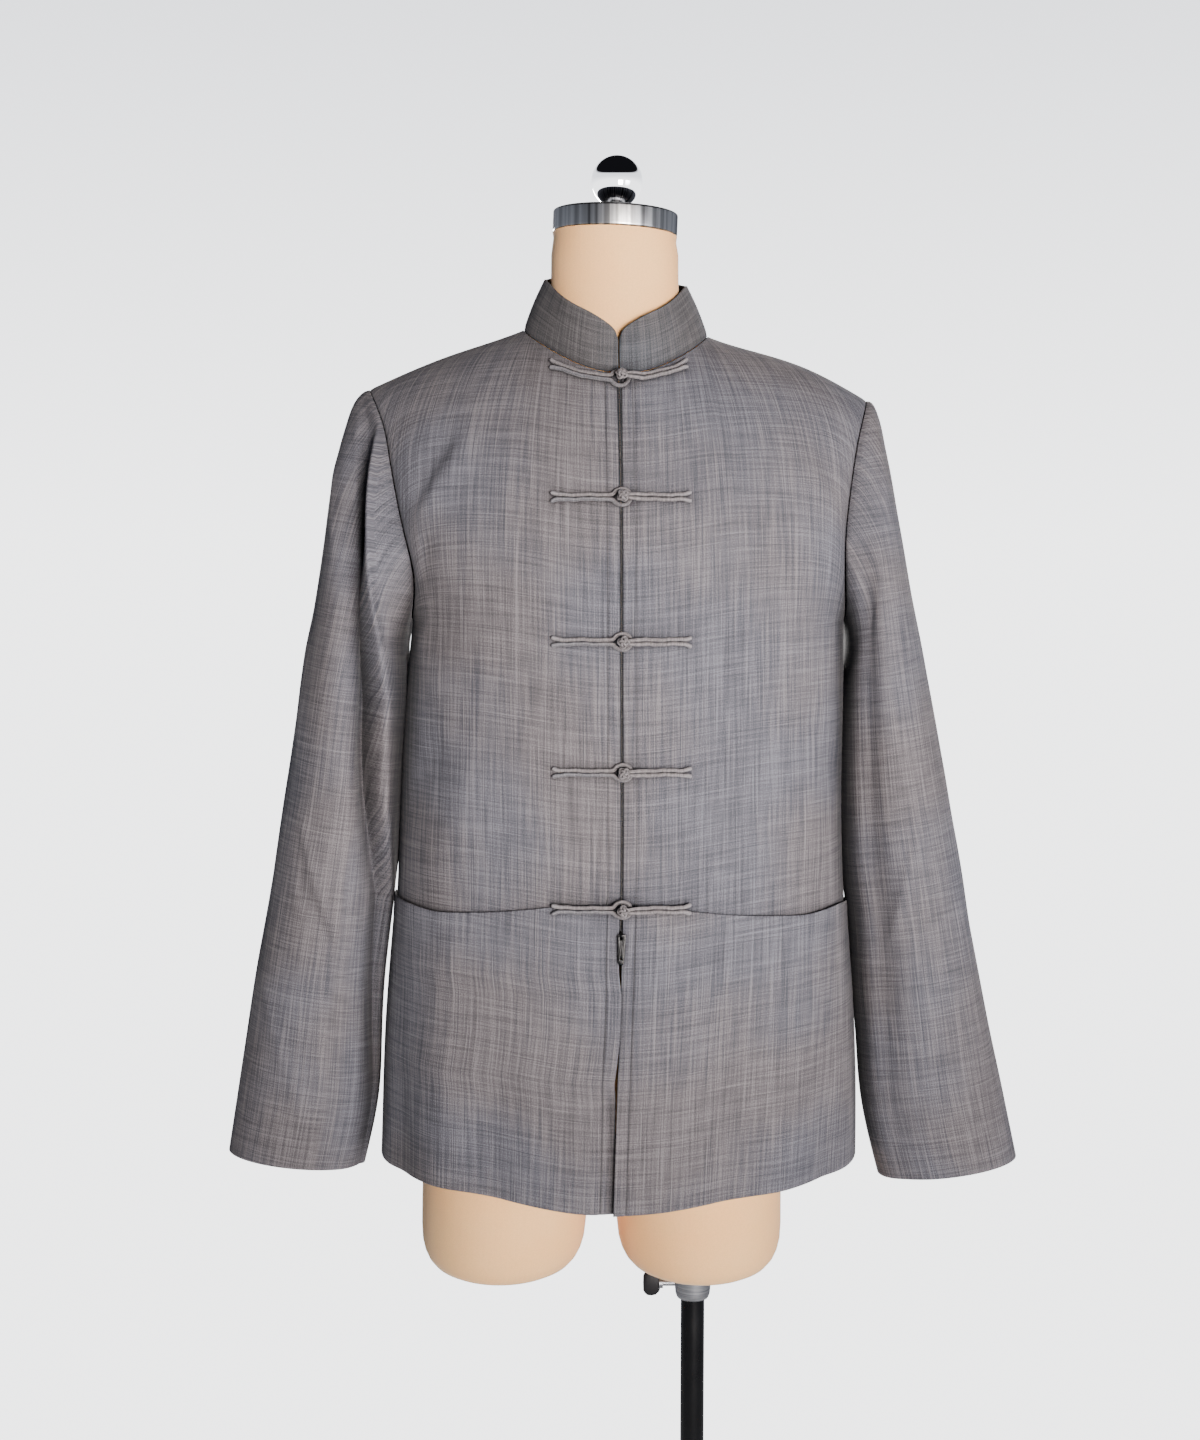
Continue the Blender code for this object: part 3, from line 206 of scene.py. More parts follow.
# ------------------------------------------------------------------ socket and clamp screw
# A turned aluminium socket is screwed under the thigh, and the pole slides through it. A steel
# screw with a black nylon wing clamps the pole from the side.

SOCKET_TOP = 0.6550
SOCKET_BOTTOM = 0.6200
SCREW_Z = 0.6330
WING_X = 0.0300

cast_grey, grey_shader = new_finish("turned_aluminium_socket", {
    "Base Color": linear("#A2A3A6"), "Metallic": 1.0, "Roughness": 0.42})
tree = cast_grey.node_tree
place = add_node(tree, "ShaderNodeTexCoord").outputs["Object"]
# lathe marks every 0.8 mm run round the socket
stretched = add_node(tree, "ShaderNodeMapping", None, {"Vector": place, "Scale": (40, 40, 1250)})
marks = add_node(tree, "ShaderNodeTexNoise", None, {"Vector": stretched.outputs[0], "Scale": 1.0})
mark_bump = add_node(tree, "ShaderNodeBump", None, {
    "Height": marks.outputs[0], "Strength": 0.3, "Distance": 0.0002})
tree.links.new(mark_bump.outputs[0], grey_shader.inputs["Normal"])
tree.links.new(ramp(tree, marks.outputs[0], [(0.3, "#85868A"), (0.7, "#B4B5B8")]),
               grey_shader.inputs["Base Color"])

socket_bore = 0.0115
turned("pole_socket_finish",
       soften([(socket_bore, SOCKET_BOTTOM), (0.0145, SOCKET_BOTTOM), (0.0160, SOCKET_BOTTOM + 0.004),
               (0.0180, SOCKET_TOP - 0.010), (0.0190, SOCKET_TOP - 0.006), (0.0190, SOCKET_TOP - GAP),
               (socket_bore, SOCKET_TOP - GAP), (socket_bore, SOCKET_BOTTOM)], 0.0012),
       (POLE_X, 0, 0), cast_grey, "form", ["pole_socket"])

black_nylon = powder_coat("moulded_black_nylon", "#1B1A1C", 0.5)
round_angle = np.arange(24) * 2 * math.pi / 24
# The wing: an oval that narrows and thins towards both ends of its hub, along X
wing_along = np.array([-0.0080, -0.0078, -0.0066, -0.0040, 0.0, 0.0040, 0.0066, 0.0078, 0.0080])
wing_tall = np.array([0.0, 0.0070, 0.0096, 0.0120, 0.0125, 0.0116, 0.0090, 0.0066, 0.0])
wing_thick = np.array([0.0, 0.0024, 0.0030, 0.0035, 0.0036, 0.0036, 0.0034, 0.0028, 0.0])
wing = np.stack([WING_X + wing_along[:, None] + 0 * round_angle,
                 wing_thick[:, None] * np.cos(round_angle),
                 SCREW_Z + wing_tall[:, None] * np.sin(round_angle)], axis=-1)
put_together("clamp_wing", wing.reshape(-1, 3), grid_quads(9, 24, around=True), black_nylon,
             "screw", ["clamp_screw"], crease=60)
# The screw's stem: a collar next to the wing, then the plain end that enters the socket
stem_x = np.array([0.0370, 0.0370, 0.0405, 0.0405, 0.0560, 0.0564, 0.0564])
stem_r = np.array([0.0, 0.0050, 0.0050, 0.0029, 0.0029, 0.0024, 0.0])
stem = np.stack([stem_x[:, None] + 0 * round_angle, stem_r[:, None] * np.cos(round_angle),
                 SCREW_Z + stem_r[:, None] * np.sin(round_angle)], axis=-1)
put_together("clamp_stem", stem.reshape(-1, 3), grid_quads(7, 24, around=True), cast_grey,
             "screw", crease=40)

# ------------------------------------------------------------------ dress form
# A hard shell with two thigh stubs and a neck, stretched over with cream cotton jersey. Its
# shoulders fill the yoke of the jacket, and the thigh on the left is bored for the pole.

SEAM_Y = 0.0050  # depth at which the jacket's side and shoulder seams lie
UNDERARM = 1.2500
ROUNDING = 2.35  # exponent of the body's superellipse sections
CLOTH = 0.0018  # wall of the lined suiting
# Half widths and depths of the jacket's body below the arms, by height
BODY = {
    "z": [0.735, 0.800, 0.873, 0.939, 0.994, 1.086, 1.177, 1.250],
    "right": [0.2185, 0.2160, 0.2130, 0.2080, 0.2032, 0.1990, 0.1935, 0.1860],
    "left": [0.2150, 0.2150, 0.2130, 0.2085, 0.2040, 0.2005, 0.2010, 0.2005],
    "front": [0.1300, 0.1285, 0.1270, 0.1258, 0.1245, 0.1225, 0.1225, 0.1230],
    "back": [0.1150, 0.1130, 0.1110, 0.1085, 0.1062, 0.1045, 0.1063, 0.1078],
}
# Height of the shoulder line from the right shoulder to the left one
SHOULDERS = {
    "x": [-0.2232, -0.1539, -0.0864, 0.0000, 0.0777, 0.1162, 0.1662, 0.2195],
    "z": [1.4548, 1.4837, 1.5066, 1.5320, 1.5012, 1.4890, 1.4731, 1.4450],
}
# Distance out of the armhole seam, by the share of the way from underarm to shoulder
ARMHOLE = {
    "share": [0.00, 0.15, 0.35, 0.50, 0.65, 0.80, 1.00],
    "right": [0.1860, 0.1800, 0.1875, 0.1945, 0.2005, 0.2070, 0.2232],
    "left": [0.2005, 0.1960, 0.1948, 0.1980, 0.2025, 0.2085, 0.2195],
}
ARMHOLE_DEPTH = 0.56  # share of the body's depth that the armhole reaches
ARMHOLE_CURVE = 0.35  # share of its height in which the armhole's lower end rounds
FALL_OFF = {-1: (2.40, 1.655), 1: (3.00, 2.525)}  # power and roundness towards the shoulder
NECK_AXIS = (-0.0050, -0.0070)  # x and y of the neck's middle
NECK_TILT = math.radians(2.3)
NECK_TOP = 1.5880
CAP_RADIUS = 0.0548
# Half widths and depths of the form below its chest, by height
FORM = {
    "z": [0.800, 0.860, 0.930, 1.000, 1.080, 1.150, 1.220, 1.275],
    "right": [0.1800, 0.1860, 0.1850, 0.1740, 0.1600, 0.1570, 0.1620, 0.1670],
    "left": [0.1560, 0.1660, 0.1690, 0.1620, 0.1540, 0.1560, 0.1640, 0.1690],
    "front": [0.0950, 0.1010, 0.1030, 0.1010, 0.0980, 0.1020, 0.1090, 0.1110],
    "back": [0.0900, 0.0980, 0.0990, 0.0900, 0.0820, 0.0850, 0.0900, 0.0930],
}
NECK = {
    "z": [1.4400, 1.4800, 1.5050, 1.5300, 1.5500, 1.5700],
    "wide": [0.0720, 0.0665, 0.0610, 0.0570, 0.0562, 0.0560],
    "deep": [0.0560, 0.0550, 0.0520, 0.0490, 0.0480, 0.0500],
}
THIGH_X = {-1: -0.1085, 1: 0.0745}
THIGH_HALF = (0.0765, 0.0860)
THIGH_TOP = 0.8700


def side_name(side):
    return "right" if side < 0 else "left"


def curve_through(at, knots, values):
    """The natural cubic spline through (knots, values): in each span, value + t * (slope +
    t * (bend / 2 + t * change of bend / (6 * span))), its bends from one linear system."""
    at, knots, values = (np.asarray(part, float) for part in (at, knots, values))
    step, rise = np.diff(knots), np.diff(values) / np.diff(knots)
    count = len(knots)
    system, right = np.eye(count), np.zeros(count)
    inner = np.arange(1, count - 1)
    system[inner, inner - 1], system[inner, inner + 1] = step[:-1], step[1:]
    system[inner, inner] = 2 * (step[:-1] + step[1:])
    right[inner] = 6 * np.diff(rise)
    bend = np.linalg.solve(system, right)
    i = np.clip(np.searchsorted(knots, at) - 1, 0, count - 2)
    t = at - knots[i]
    slope = rise[i] - step[i] * (2 * bend[i] + bend[i + 1]) / 6
    return values[i] + t * (slope + t * (bend[i] / 2 + t * (bend[i + 1] - bend[i]) / (6 * step[i])))


def fall_off(face, share):
    """Depth above the underarm: (1 - share ** power) ** (1 / roundness)."""
    power, roundness = FALL_OFF[face]
    return np.clip(1 - np.clip(share, 0, 1) ** power, 0, 1) ** (1 / roundness)


def underarm_depth(face):
    return BODY["front" if face < 0 else "back"][-1]


def upper_point(side, face, out, share):
    """A point of the yoke: its depth is the fall-off times a superellipse across the body, whose
    half width makes it pass through the armhole seam."""
    arm = curve_through(share, ARMHOLE["share"], ARMHOLE[side_name(side)])
    reach = np.clip(share / ARMHOLE_CURVE, 0, 1)
    ratio = ARMHOLE_DEPTH * np.sqrt(np.clip(1 - (1 - reach) ** 2, 0, 1))
    half_width = arm / (1 - ratio**ROUNDING) ** (1 / ROUNDING)
    section = np.clip(1 - np.clip(np.abs(out) / half_width, 0, 1) ** ROUNDING, 0, 1)
    depth = underarm_depth(face) * fall_off(face, share) * section ** (1 / ROUNDING)
    top = curve_through(side * out, SHOULDERS["x"], SHOULDERS["z"])
    return np.stack([side * out, SEAM_Y + face * depth, UNDERARM + (top - UNDERARM) * share], axis=-1)


def smooth_step(value):
    """0 below 0, 1 above 1, and 3 t ** 2 - 2 t ** 3 between them."""
    value = np.clip(value, 0, 1)
    return value * value * (3 - 2 * value)


def form_shoulder(across, deep, share):
    """A ring of the form inside the yoke: the jacket's own points, drawn in by the wall of the
    cloth and 2.2 mm, fuller towards the top, where the jacket rests on it."""
    fill = 0.90 + 0.10 * smooth_step((share - 0.6) / 0.35)
    points = np.empty((len(across), 3))
    for side in (-1, 1):
        for face in (-1, 1):
            mine = ((across < 0) == (side < 0)) & ((deep < 0) == (face < 0))
            arm = curve_through(share, ARMHOLE["share"], ARMHOLE[side_name(side)])
            out = arm * 0.93 * np.abs(across[mine])
            place = upper_point(side, face, out, np.full(out.shape, share))
            depth = underarm_depth(face) * fall_off(face, share) * fill * np.abs(deep[mine])
            place[:, 1] = SEAM_Y + face * np.minimum(depth, np.abs(place[:, 1] - SEAM_Y))
            points[mine] = place
    inward = points - np.array([NECK_AXIS[0], SEAM_Y, 1.30])
    inward /= np.linalg.norm(inward, axis=1, keepdims=True)
    return points - inward * (CLOTH + 0.0022)


def oval(sides, power=1.0):
    """Sine and minus cosine round a ring, each raised to a power with its sign kept."""
    angle = np.arange(sides) * 2 * math.pi / sides
    swing, ahead = np.sin(angle), -np.cos(angle)
    return np.sign(swing) * np.abs(swing) ** power, np.sign(ahead) * np.abs(ahead) ** power


def bore_rings(sides, heights):
    """Rings of the bore, 12 mm in radius, round the pole's axis."""
    across, deep = oval(sides)
    return [np.column_stack([POLE_X + 0.012 * across, 0.012 * deep, np.full(sides, z)])
            for z in heights]


jersey, jersey_shader = new_finish("cream_cotton_jersey", {
    "Base Color": linear("#EFC79C"), "Roughness": 0.86, "IOR": 1.5, "Sheen Weight": 0.25,
    "Sheen Roughness": 0.45, "Subsurface Weight": 0.04})
jersey_shader.inputs["Subsurface Radius"].default_value = (0.004, 0.002, 0.001)
tree = jersey.node_tree
place = add_node(tree, "ShaderNodeTexCoord").outputs["Object"]
# knit wales 1.1 mm apart, drawn at three times their real size so that they show
wales = add_node(tree, "ShaderNodeTexWave", {"bands_direction": "X"}, {
    "Vector": place, "Scale": 290.0, "Distortion": 1.5, "Detail": 2.0, "Detail Scale": 3.0})
fibres = add_node(tree, "ShaderNodeTexNoise", None, {"Vector": place, "Scale": 900.0, "Detail": 3.0})
handling = add_node(tree, "ShaderNodeTexNoise", None, {"Vector": place, "Scale": 9.0, "Detail": 4.0})
tint = ramp(tree, handling.outputs[0], [(0.3, "#FFBE7A"), (0.7, "#FFCB8A")])
worn = add_node(tree, "ShaderNodeMix", {"data_type": "RGBA", "blend_type": "MULTIPLY"}, {
    0: 0.30, 6: tint, 7: ramp(tree, fibres.outputs[0], [(0.3, "#D9D4CE"), (0.7, "#FFFFFF")])})
knit = add_node(tree, "ShaderNodeBump", None, {
    "Height": wales.outputs[1], "Strength": 0.22, "Distance": 0.0003})
fuzz = add_node(tree, "ShaderNodeBump", None, {
    "Height": fibres.outputs[0], "Strength": 0.25, "Distance": 0.0003, "Normal": knit.outputs[0]})
tree.links.new(worn.outputs[2], jersey_shader.inputs["Base Color"])
tree.links.new(fuzz.outputs[0], jersey_shader.inputs["Normal"])

RING = 96
across, deep = oval(RING, 0.92)
heights = np.linspace(FORM["z"][0], FORM["z"][-1], 40)
width = {key: curve_through(heights, FORM["z"], FORM[key]) for key in ("right", "left", "front", "back")}
low = np.stack([np.where(across < 0, width["right"][:, None], width["left"][:, None]) * across,
                SEAM_Y + np.where(deep < 0, width["front"][:, None], width["back"][:, None]) * deep,
                heights[:, None] + 0 * across], axis=-1)
high = [form_shoulder(across, deep, share) for share in np.linspace(0.22, 0.985, 26)]
ridge = high[-1].copy()
ridge[:, 1] = SEAM_Y
ridge[:, 2] -= 0.0004
floor_of_hips = [low[0] * (1 - k) + bore_rings(RING, [0.800])[0] * k for k in (0.66, 0.33)]
torso = np.stack([*bore_rings(RING, [1.0601, 1.0600])] + [bore_rings(RING, [0.800])[0]]
                 + floor_of_hips + [*low] + high + [ridge])
torso[0, :, :2] = (POLE_X, 0.0)
put_together("form_torso_cover", torso.reshape(-1, 3), grid_quads(len(torso), RING, around=True),
             jersey, "form", ["form_torso"], crease=60)

neck_z = np.linspace(NECK["z"][0], NECK["z"][-1], 24)
across, deep = oval(RING)
neck = np.stack([NECK_AXIS[0] + curve_through(neck_z, NECK["z"], NECK["wide"])[:, None] * across,
                 NECK_AXIS[1] + curve_through(neck_z, NECK["z"], NECK["deep"])[:, None] * deep,
                 neck_z[:, None] + 0 * across], axis=-1)
neck_lid = np.stack([NECK_AXIS[0] + CAP_RADIUS * across, NECK_AXIS[1] + CAP_RADIUS * deep,
                     NECK_TOP - math.tan(NECK_TILT) * CAP_RADIUS * across], axis=-1)
neck_end = neck_lid.copy()
neck_end[:] = (NECK_AXIS[0], NECK_AXIS[1], NECK_TOP)
neck_foot = np.broadcast_to(np.array([NECK_AXIS[0], NECK_AXIS[1], NECK["z"][0]]), neck_end.shape)
# the cover is gathered under the cap, which pulls it in by 1 mm over the last 5 mm
middle = np.array([NECK_AXIS[0], NECK_AXIS[1], 0])
waist = (neck_lid - middle) * (0.985, 0.985, 1) + middle - (0, 0, 0.0045)
neck_lid_low = (neck_lid - middle) * (0.995, 0.995, 1) + middle - (0, 0, 0.0015)
column = np.concatenate([neck_foot[None], neck, waist[None], neck_lid_low[None], neck_lid[None],
                         neck_end[None]])
put_together("form_neck_cover", column.reshape(-1, 3), grid_quads(len(column), RING, around=True),
             jersey, "form", crease=60)

# Each thigh: rings from a rounded end up into the hips; size is the share of its full width
THIGH = {
    "rise": [0.0000, 0.0012, 0.0045, 0.0100, 0.0170, 0.0260, 0.0400, 0.0650, 0.1100, 0.2150],
    "size": [0.7000, 0.7700, 0.8450, 0.9050, 0.9480, 0.9780, 0.9930, 1.0000, 1.0050, 1.0300],
}
for side in (-1, 1):
    rise, size = np.array(THIGH["rise"]), np.array(THIGH["size"])
    centre = THIGH_X[side] * (1 - 0.08 * rise / 0.215)
    rings = np.stack([centre[:, None] + THIGH_HALF[0] * size[:, None] * across,
                      SEAM_Y - 0.003 + THIGH_HALF[1] * size[:, None] * deep,
                      SOCKET_TOP + rise[:, None] + 0 * across], axis=-1)
    lid = rings[-1].copy()
    lid[:] = (centre[-1], SEAM_Y, SOCKET_TOP + rise[-1])
    if side > 0:
        ends = bore_rings(RING, [THIGH_TOP, SOCKET_TOP])
        lid = ends[0]
        first = [ends[1], ends[1] * 0.5 + rings[0] * 0.5]
        rings = np.concatenate([np.stack(first), rings, lid[None]])
        quads = grid_quads(len(rings), RING, around=True, over=True)
    else:
        foot = rings[0].copy()
        foot[:] = (centre[0], SEAM_Y - 0.003, SOCKET_TOP)
        rings = np.concatenate([foot[None], foot[None] * 0.5 + rings[:1] * 0.5, rings, lid[None]])
        quads = grid_quads(len(rings), RING, around=True)
    put_together(f"form_thigh_{side_name(side)}", rings.reshape(-1, 3), quads, jersey, "form",
                 crease=60)

# ------------------------------------------------------------------ neck cap and ball
# A spun steel cap, brushed round, closes the neck, and a hollow chromed ball on a short stem is
# screwed to its middle. The rim's base colour carries painted reflection: pale and dark stripes round it
# stand in for a room seen in brushed steel.

CAP_HEIGHT = 0.0190
BALL_RADIUS = 0.0225
cap_seat = (*NECK_AXIS, NECK_TOP)

brushed, brushed_shader = new_finish("brushed_stainless_steel", {
    "Base Color": linear("#C9C8C6"), "Metallic": 1.0, "Roughness": 0.30})
tree = brushed.node_tree
place = add_node(tree, "ShaderNodeTexCoord").outputs["Object"]
parts = add_node(tree, "ShaderNodeSeparateXYZ", None, {0: place})
# painted reflection: the angle round the cap picks broad pale and dark stripes of base colour, standing in
# for the room that a brushed rim reflects
side_x = add_node(tree, "ShaderNodeMath", {"operation": "ADD"}, {0: parts.outputs[0], 1: -NECK_AXIS[0]})
side_y = add_node(tree, "ShaderNodeMath", {"operation": "ADD"}, {0: parts.outputs[1], 1: -NECK_AXIS[1]})
turn = add_node(tree, "ShaderNodeMath", {"operation": "ARCTAN2"}, {
    0: side_x.outputs[0], 1: side_y.outputs[0]})
painted_reflection_bands = add_node(tree, "ShaderNodeTexNoise", {"noise_dimensions": "1D"}, {
    "W": turn.outputs[0], "Scale": 3.1, "Detail": 3.0, "Roughness": 0.55})
brush_map = add_node(tree, "ShaderNodeMapping", None, {"Vector": place, "Scale": (60, 60, 2600)})
brush = add_node(tree, "ShaderNodeTexNoise", None, {
    "Vector": brush_map.outputs[0], "Scale": 1.0, "Detail": 3.0})
brush_bump = add_node(tree, "ShaderNodeBump", None, {
    "Height": brush.outputs[0], "Strength": 0.35, "Distance": 0.0001})
tree.links.new(ramp(tree, painted_reflection_bands.outputs[0], [(0.36, "#6E6D6C"), (0.47, "#C4C3C1"), (0.56, "#E6E5E2"),
                                              (0.66, "#A09F9D")]),
               brushed_shader.inputs["Base Color"])
tree.links.new(brush_bump.outputs[0], brushed_shader.inputs["Normal"])
turned("neck_cap_spun", soften([(0, GAP), (CAP_RADIUS, GAP), (CAP_RADIUS, GAP + CAP_HEIGHT),
                                (0, GAP + CAP_HEIGHT)], 0.0022, steps=6),
       cap_seat, brushed, "form", ["neck_cap"], sides=128, tilt=NECK_TILT)

chrome, _ = new_finish("polished_chrome", {
    "Base Color": linear("#E4E4E6"), "Metallic": 1.0, "Roughness": 0.0})
ball_low = math.asin(0.0075 / BALL_RADIUS)
ball_middle = GAP + CAP_HEIGHT + 0.0056 + BALL_RADIUS * math.cos(ball_low)
stem_foot = GAP + CAP_HEIGHT + 0.0002
ball_turn = np.linspace(ball_low, math.pi, 48)
stem_line = soften([(0, stem_foot), (0.0090, stem_foot), (0.0090, stem_foot + 0.0022),
                    (0.0062, stem_foot + 0.0034), (0.0062, stem_foot + 0.0050)], 0.0006)
ball_line = np.column_stack([BALL_RADIUS * np.sin(ball_turn), ball_middle - BALL_RADIUS * np.cos(ball_turn)])
ball_line[-1, 0] = 0
turned("cap_ball_chromed", np.vstack([stem_line, ball_line]), cap_seat, chrome, "form",
       ["cap_ball"], sides=96, tilt=NECK_TILT)

# ------------------------------------------------------------------ back of the jacket
# One piece of lined wool suiting from side seam to side seam, cut on the fold, with the turned
# hem pressed flat. It hangs from the shoulder blades in soft upright folds.

SEAM = 0.0003  # space left between two sewn pieces
SEAM_DIP = 0.0006  # how far a sewn armhole draws the cloth in
SIDE_FADE = 0.03  # distance over which creases die away before a side seam
NECK_FRONT = 0.0800  # depth of the neck hole, from the side seams' depth
NECK_BACK = 0.0530
NECK_WIDTH = {-1: 0.0860, 1: 0.0780}
NECK_COLUMN = 0.46  # share of a panel's columns that ends at the neckline
# Height of the hem from the centre to the side seam
HEM = {
    "share": [0.00, 0.10, 0.20, 0.30, 0.40, 0.50, 0.70, 1.00],
    "z": [0.7420, 0.7438, 0.7482, 0.7528, 0.7562, 0.7582, 0.7600, 0.7625],
}
# Upper edge of each pocket, by the share of the way from the front edge to the side seam
MOUTH = {
    "share": [0.00, 0.18, 0.31, 0.46, 0.57, 0.65, 0.77, 0.89, 1.00],
    "right": [1.0130, 1.0105, 1.0058, 1.0021, 1.0006, 1.0018, 1.0036, 1.0036, 1.0030],
    "left": [1.0100, 1.0068, 1.0023, 0.9993, 0.9977, 0.9989, 1.0004, 0.9984, 0.9960],
}
# Centre front: the line between the two fronts, and half the space between them
CENTRE = {
    "z": [0.735, 0.880, 1.000, 1.200, 1.357, 1.470],
    "x": [-0.0080, -0.0035, 0.0000, 0.0002, -0.0004, -0.0020],
    "half": [0.0010, 0.0012, 0.0013, 0.0013, 0.0014, 0.0022],
}


def lower_point(side, face, out_share, z, start):
    """A point below the underarm: a superellipse section, from the start to the side seam."""
    half_width = curve_through(z, BODY["z"], BODY[side_name(side)])
    deep = curve_through(z, BODY["z"], BODY["front" if face < 0 else "back"])
    out = start + (1 - start / half_width) * half_width * out_share
    section = np.clip(1 - np.clip(np.abs(out) / half_width, 0, 1) ** ROUNDING, 0, 1)
    return np.stack([side * out, SEAM_Y + face * deep * section ** (1 / ROUNDING), z], axis=-1)


def front_edge(side, z):
    """How far out a front starts at this height: its side of the centre line."""
    centre = curve_through(z, CENTRE["z"], CENTRE["x"])
    return side * centre + np.interp(z, CENTRE["z"], CENTRE["half"])


def top_line(side, face, column):
    """The upper edge of a panel: a quarter of the neck hole's oval up to NECK_COLUMN, then the
    shoulder seam; the share of height comes from turning fall_off round."""
    angle = np.clip(column / NECK_COLUMN, 0, 1) * math.pi / 2
    along = np.clip((column - NECK_COLUMN) / (1 - NECK_COLUMN), 0, 1)
    tip = ARMHOLE[side_name(side)][-1]
    out = NECK_WIDTH[side] * np.sin(angle) + (tip - NECK_WIDTH[side]) * along
    depth = (NECK_FRONT if face < 0 else NECK_BACK) / underarm_depth(face) * np.cos(angle)
    power, roundness = FALL_OFF[face]
    return out, np.clip(1 - np.clip(depth, 0, 1) ** roundness, 0, 1) ** (1 / power)


def panel(side, face, columns, rows):
    """One quarter of the body. Columns run from the centre (0) to the side (1). Rows: 0 hem,
    1 pocket mouth, 2 underarm, 3 top, and the yoke's rows climb as a half wave."""
    column, row = np.meshgrid(np.asarray(columns, float), np.asarray(rows, float))
    lean = np.sin(column * math.pi / 2)
    hem = curve_through(column, HEM["share"], HEM["z"])
    mouth = curve_through(column, MOUTH["share"], MOUTH[side_name(side)])
    low = hem + (mouth - hem) * np.clip(row, 0, 1) + (UNDERARM - mouth) * np.clip(row - 1, 0, 1)
    start = front_edge(side, low) if face < 0 else np.zeros_like(low)
    below = lower_point(side, face, lean, low, start)
    climb = (1 - np.cos(np.clip(row - 2, 0, 1) * math.pi)) / 2
    out_top, share_top = top_line(side, face, column)
    share = share_top * climb
    arm = curve_through(share, ARMHOLE["share"], ARMHOLE[side_name(side)])
    tip = ARMHOLE[side_name(side)][-1]
    blend = climb**2 * (3 - 2 * climb)
    spread = arm * ((1 - blend) * lean + blend * out_top / tip)
    if face < 0:
        start = front_edge(side, UNDERARM + share * (SHOULDERS["z"][3] - UNDERARM))
        near_edge = np.clip(1 - column / NECK_COLUMN, 0, 1)
        spread += start * ((1 - blend) * (1 - lean) + blend * near_edge)
    above = upper_point(side, face, spread, share)
    return np.where((row > 2)[..., None], above, below)


def unit(vectors):
    """Each vector divided by its length."""
    return vectors / np.maximum(np.linalg.norm(vectors, axis=-1, keepdims=True), 1e-12)


def grid_normals(points, around=False):
    """Unit normals of a grid, from the cross product of its two directions of travel, turned
    away from the middle of the grid's own rows."""
    across = (np.roll(points, -1, axis=1) - np.roll(points, 1, axis=1)) if around \
        else np.gradient(points, axis=1)
    normals = unit(np.cross(across, np.gradient(points, axis=0)))
    centre = points.mean(axis=1, keepdims=True) if around else np.array([0.0, SEAM_Y, 1.0])
    away = points - centre
    return normals if np.sum(normals[..., :2] * away[..., :2]) > 0 else -normals


def lengths(points, axis):
    """Distance travelled along a grid's rows (axis 1) or columns (axis 0), from its start."""
    step = np.linalg.norm(np.diff(points, axis=axis), axis=-1)
    pad = [(0, 0), (0, 0)]
    pad[axis] = (1, 0)
    return np.cumsum(np.pad(step, pad), axis=axis)


def bump_field(u, v, table):
    """Soft creases on a flat plan of a piece. Each row of the table is a line from (u0, v0) to
    (u1, v1), bowed sideways by bow: a Gaussian of the given height across it, as wide as
    left on its left side and right on its other side, that dies away over its last 30 %."""
    total = np.zeros(np.broadcast(u, v).shape)
    for u0, v0, u1, v1, left, right, height, bow in table:
        run_u, run_v = u1 - u0, v1 - v0
        size = math.hypot(run_u, run_v)
        t = ((u - u0) * run_u + (v - v0) * run_v) / size**2
        apart = ((v - v0) * run_u - (u - u0) * run_v) / size - bow * 4 * t * (1 - t)
        wide = np.where(apart > 0, left, right)
        ends = smooth_step(t / 0.3) * smooth_step((1 - t) / 0.3)
        total += height * ends * np.exp(-((apart / wide) ** 2))
    return total


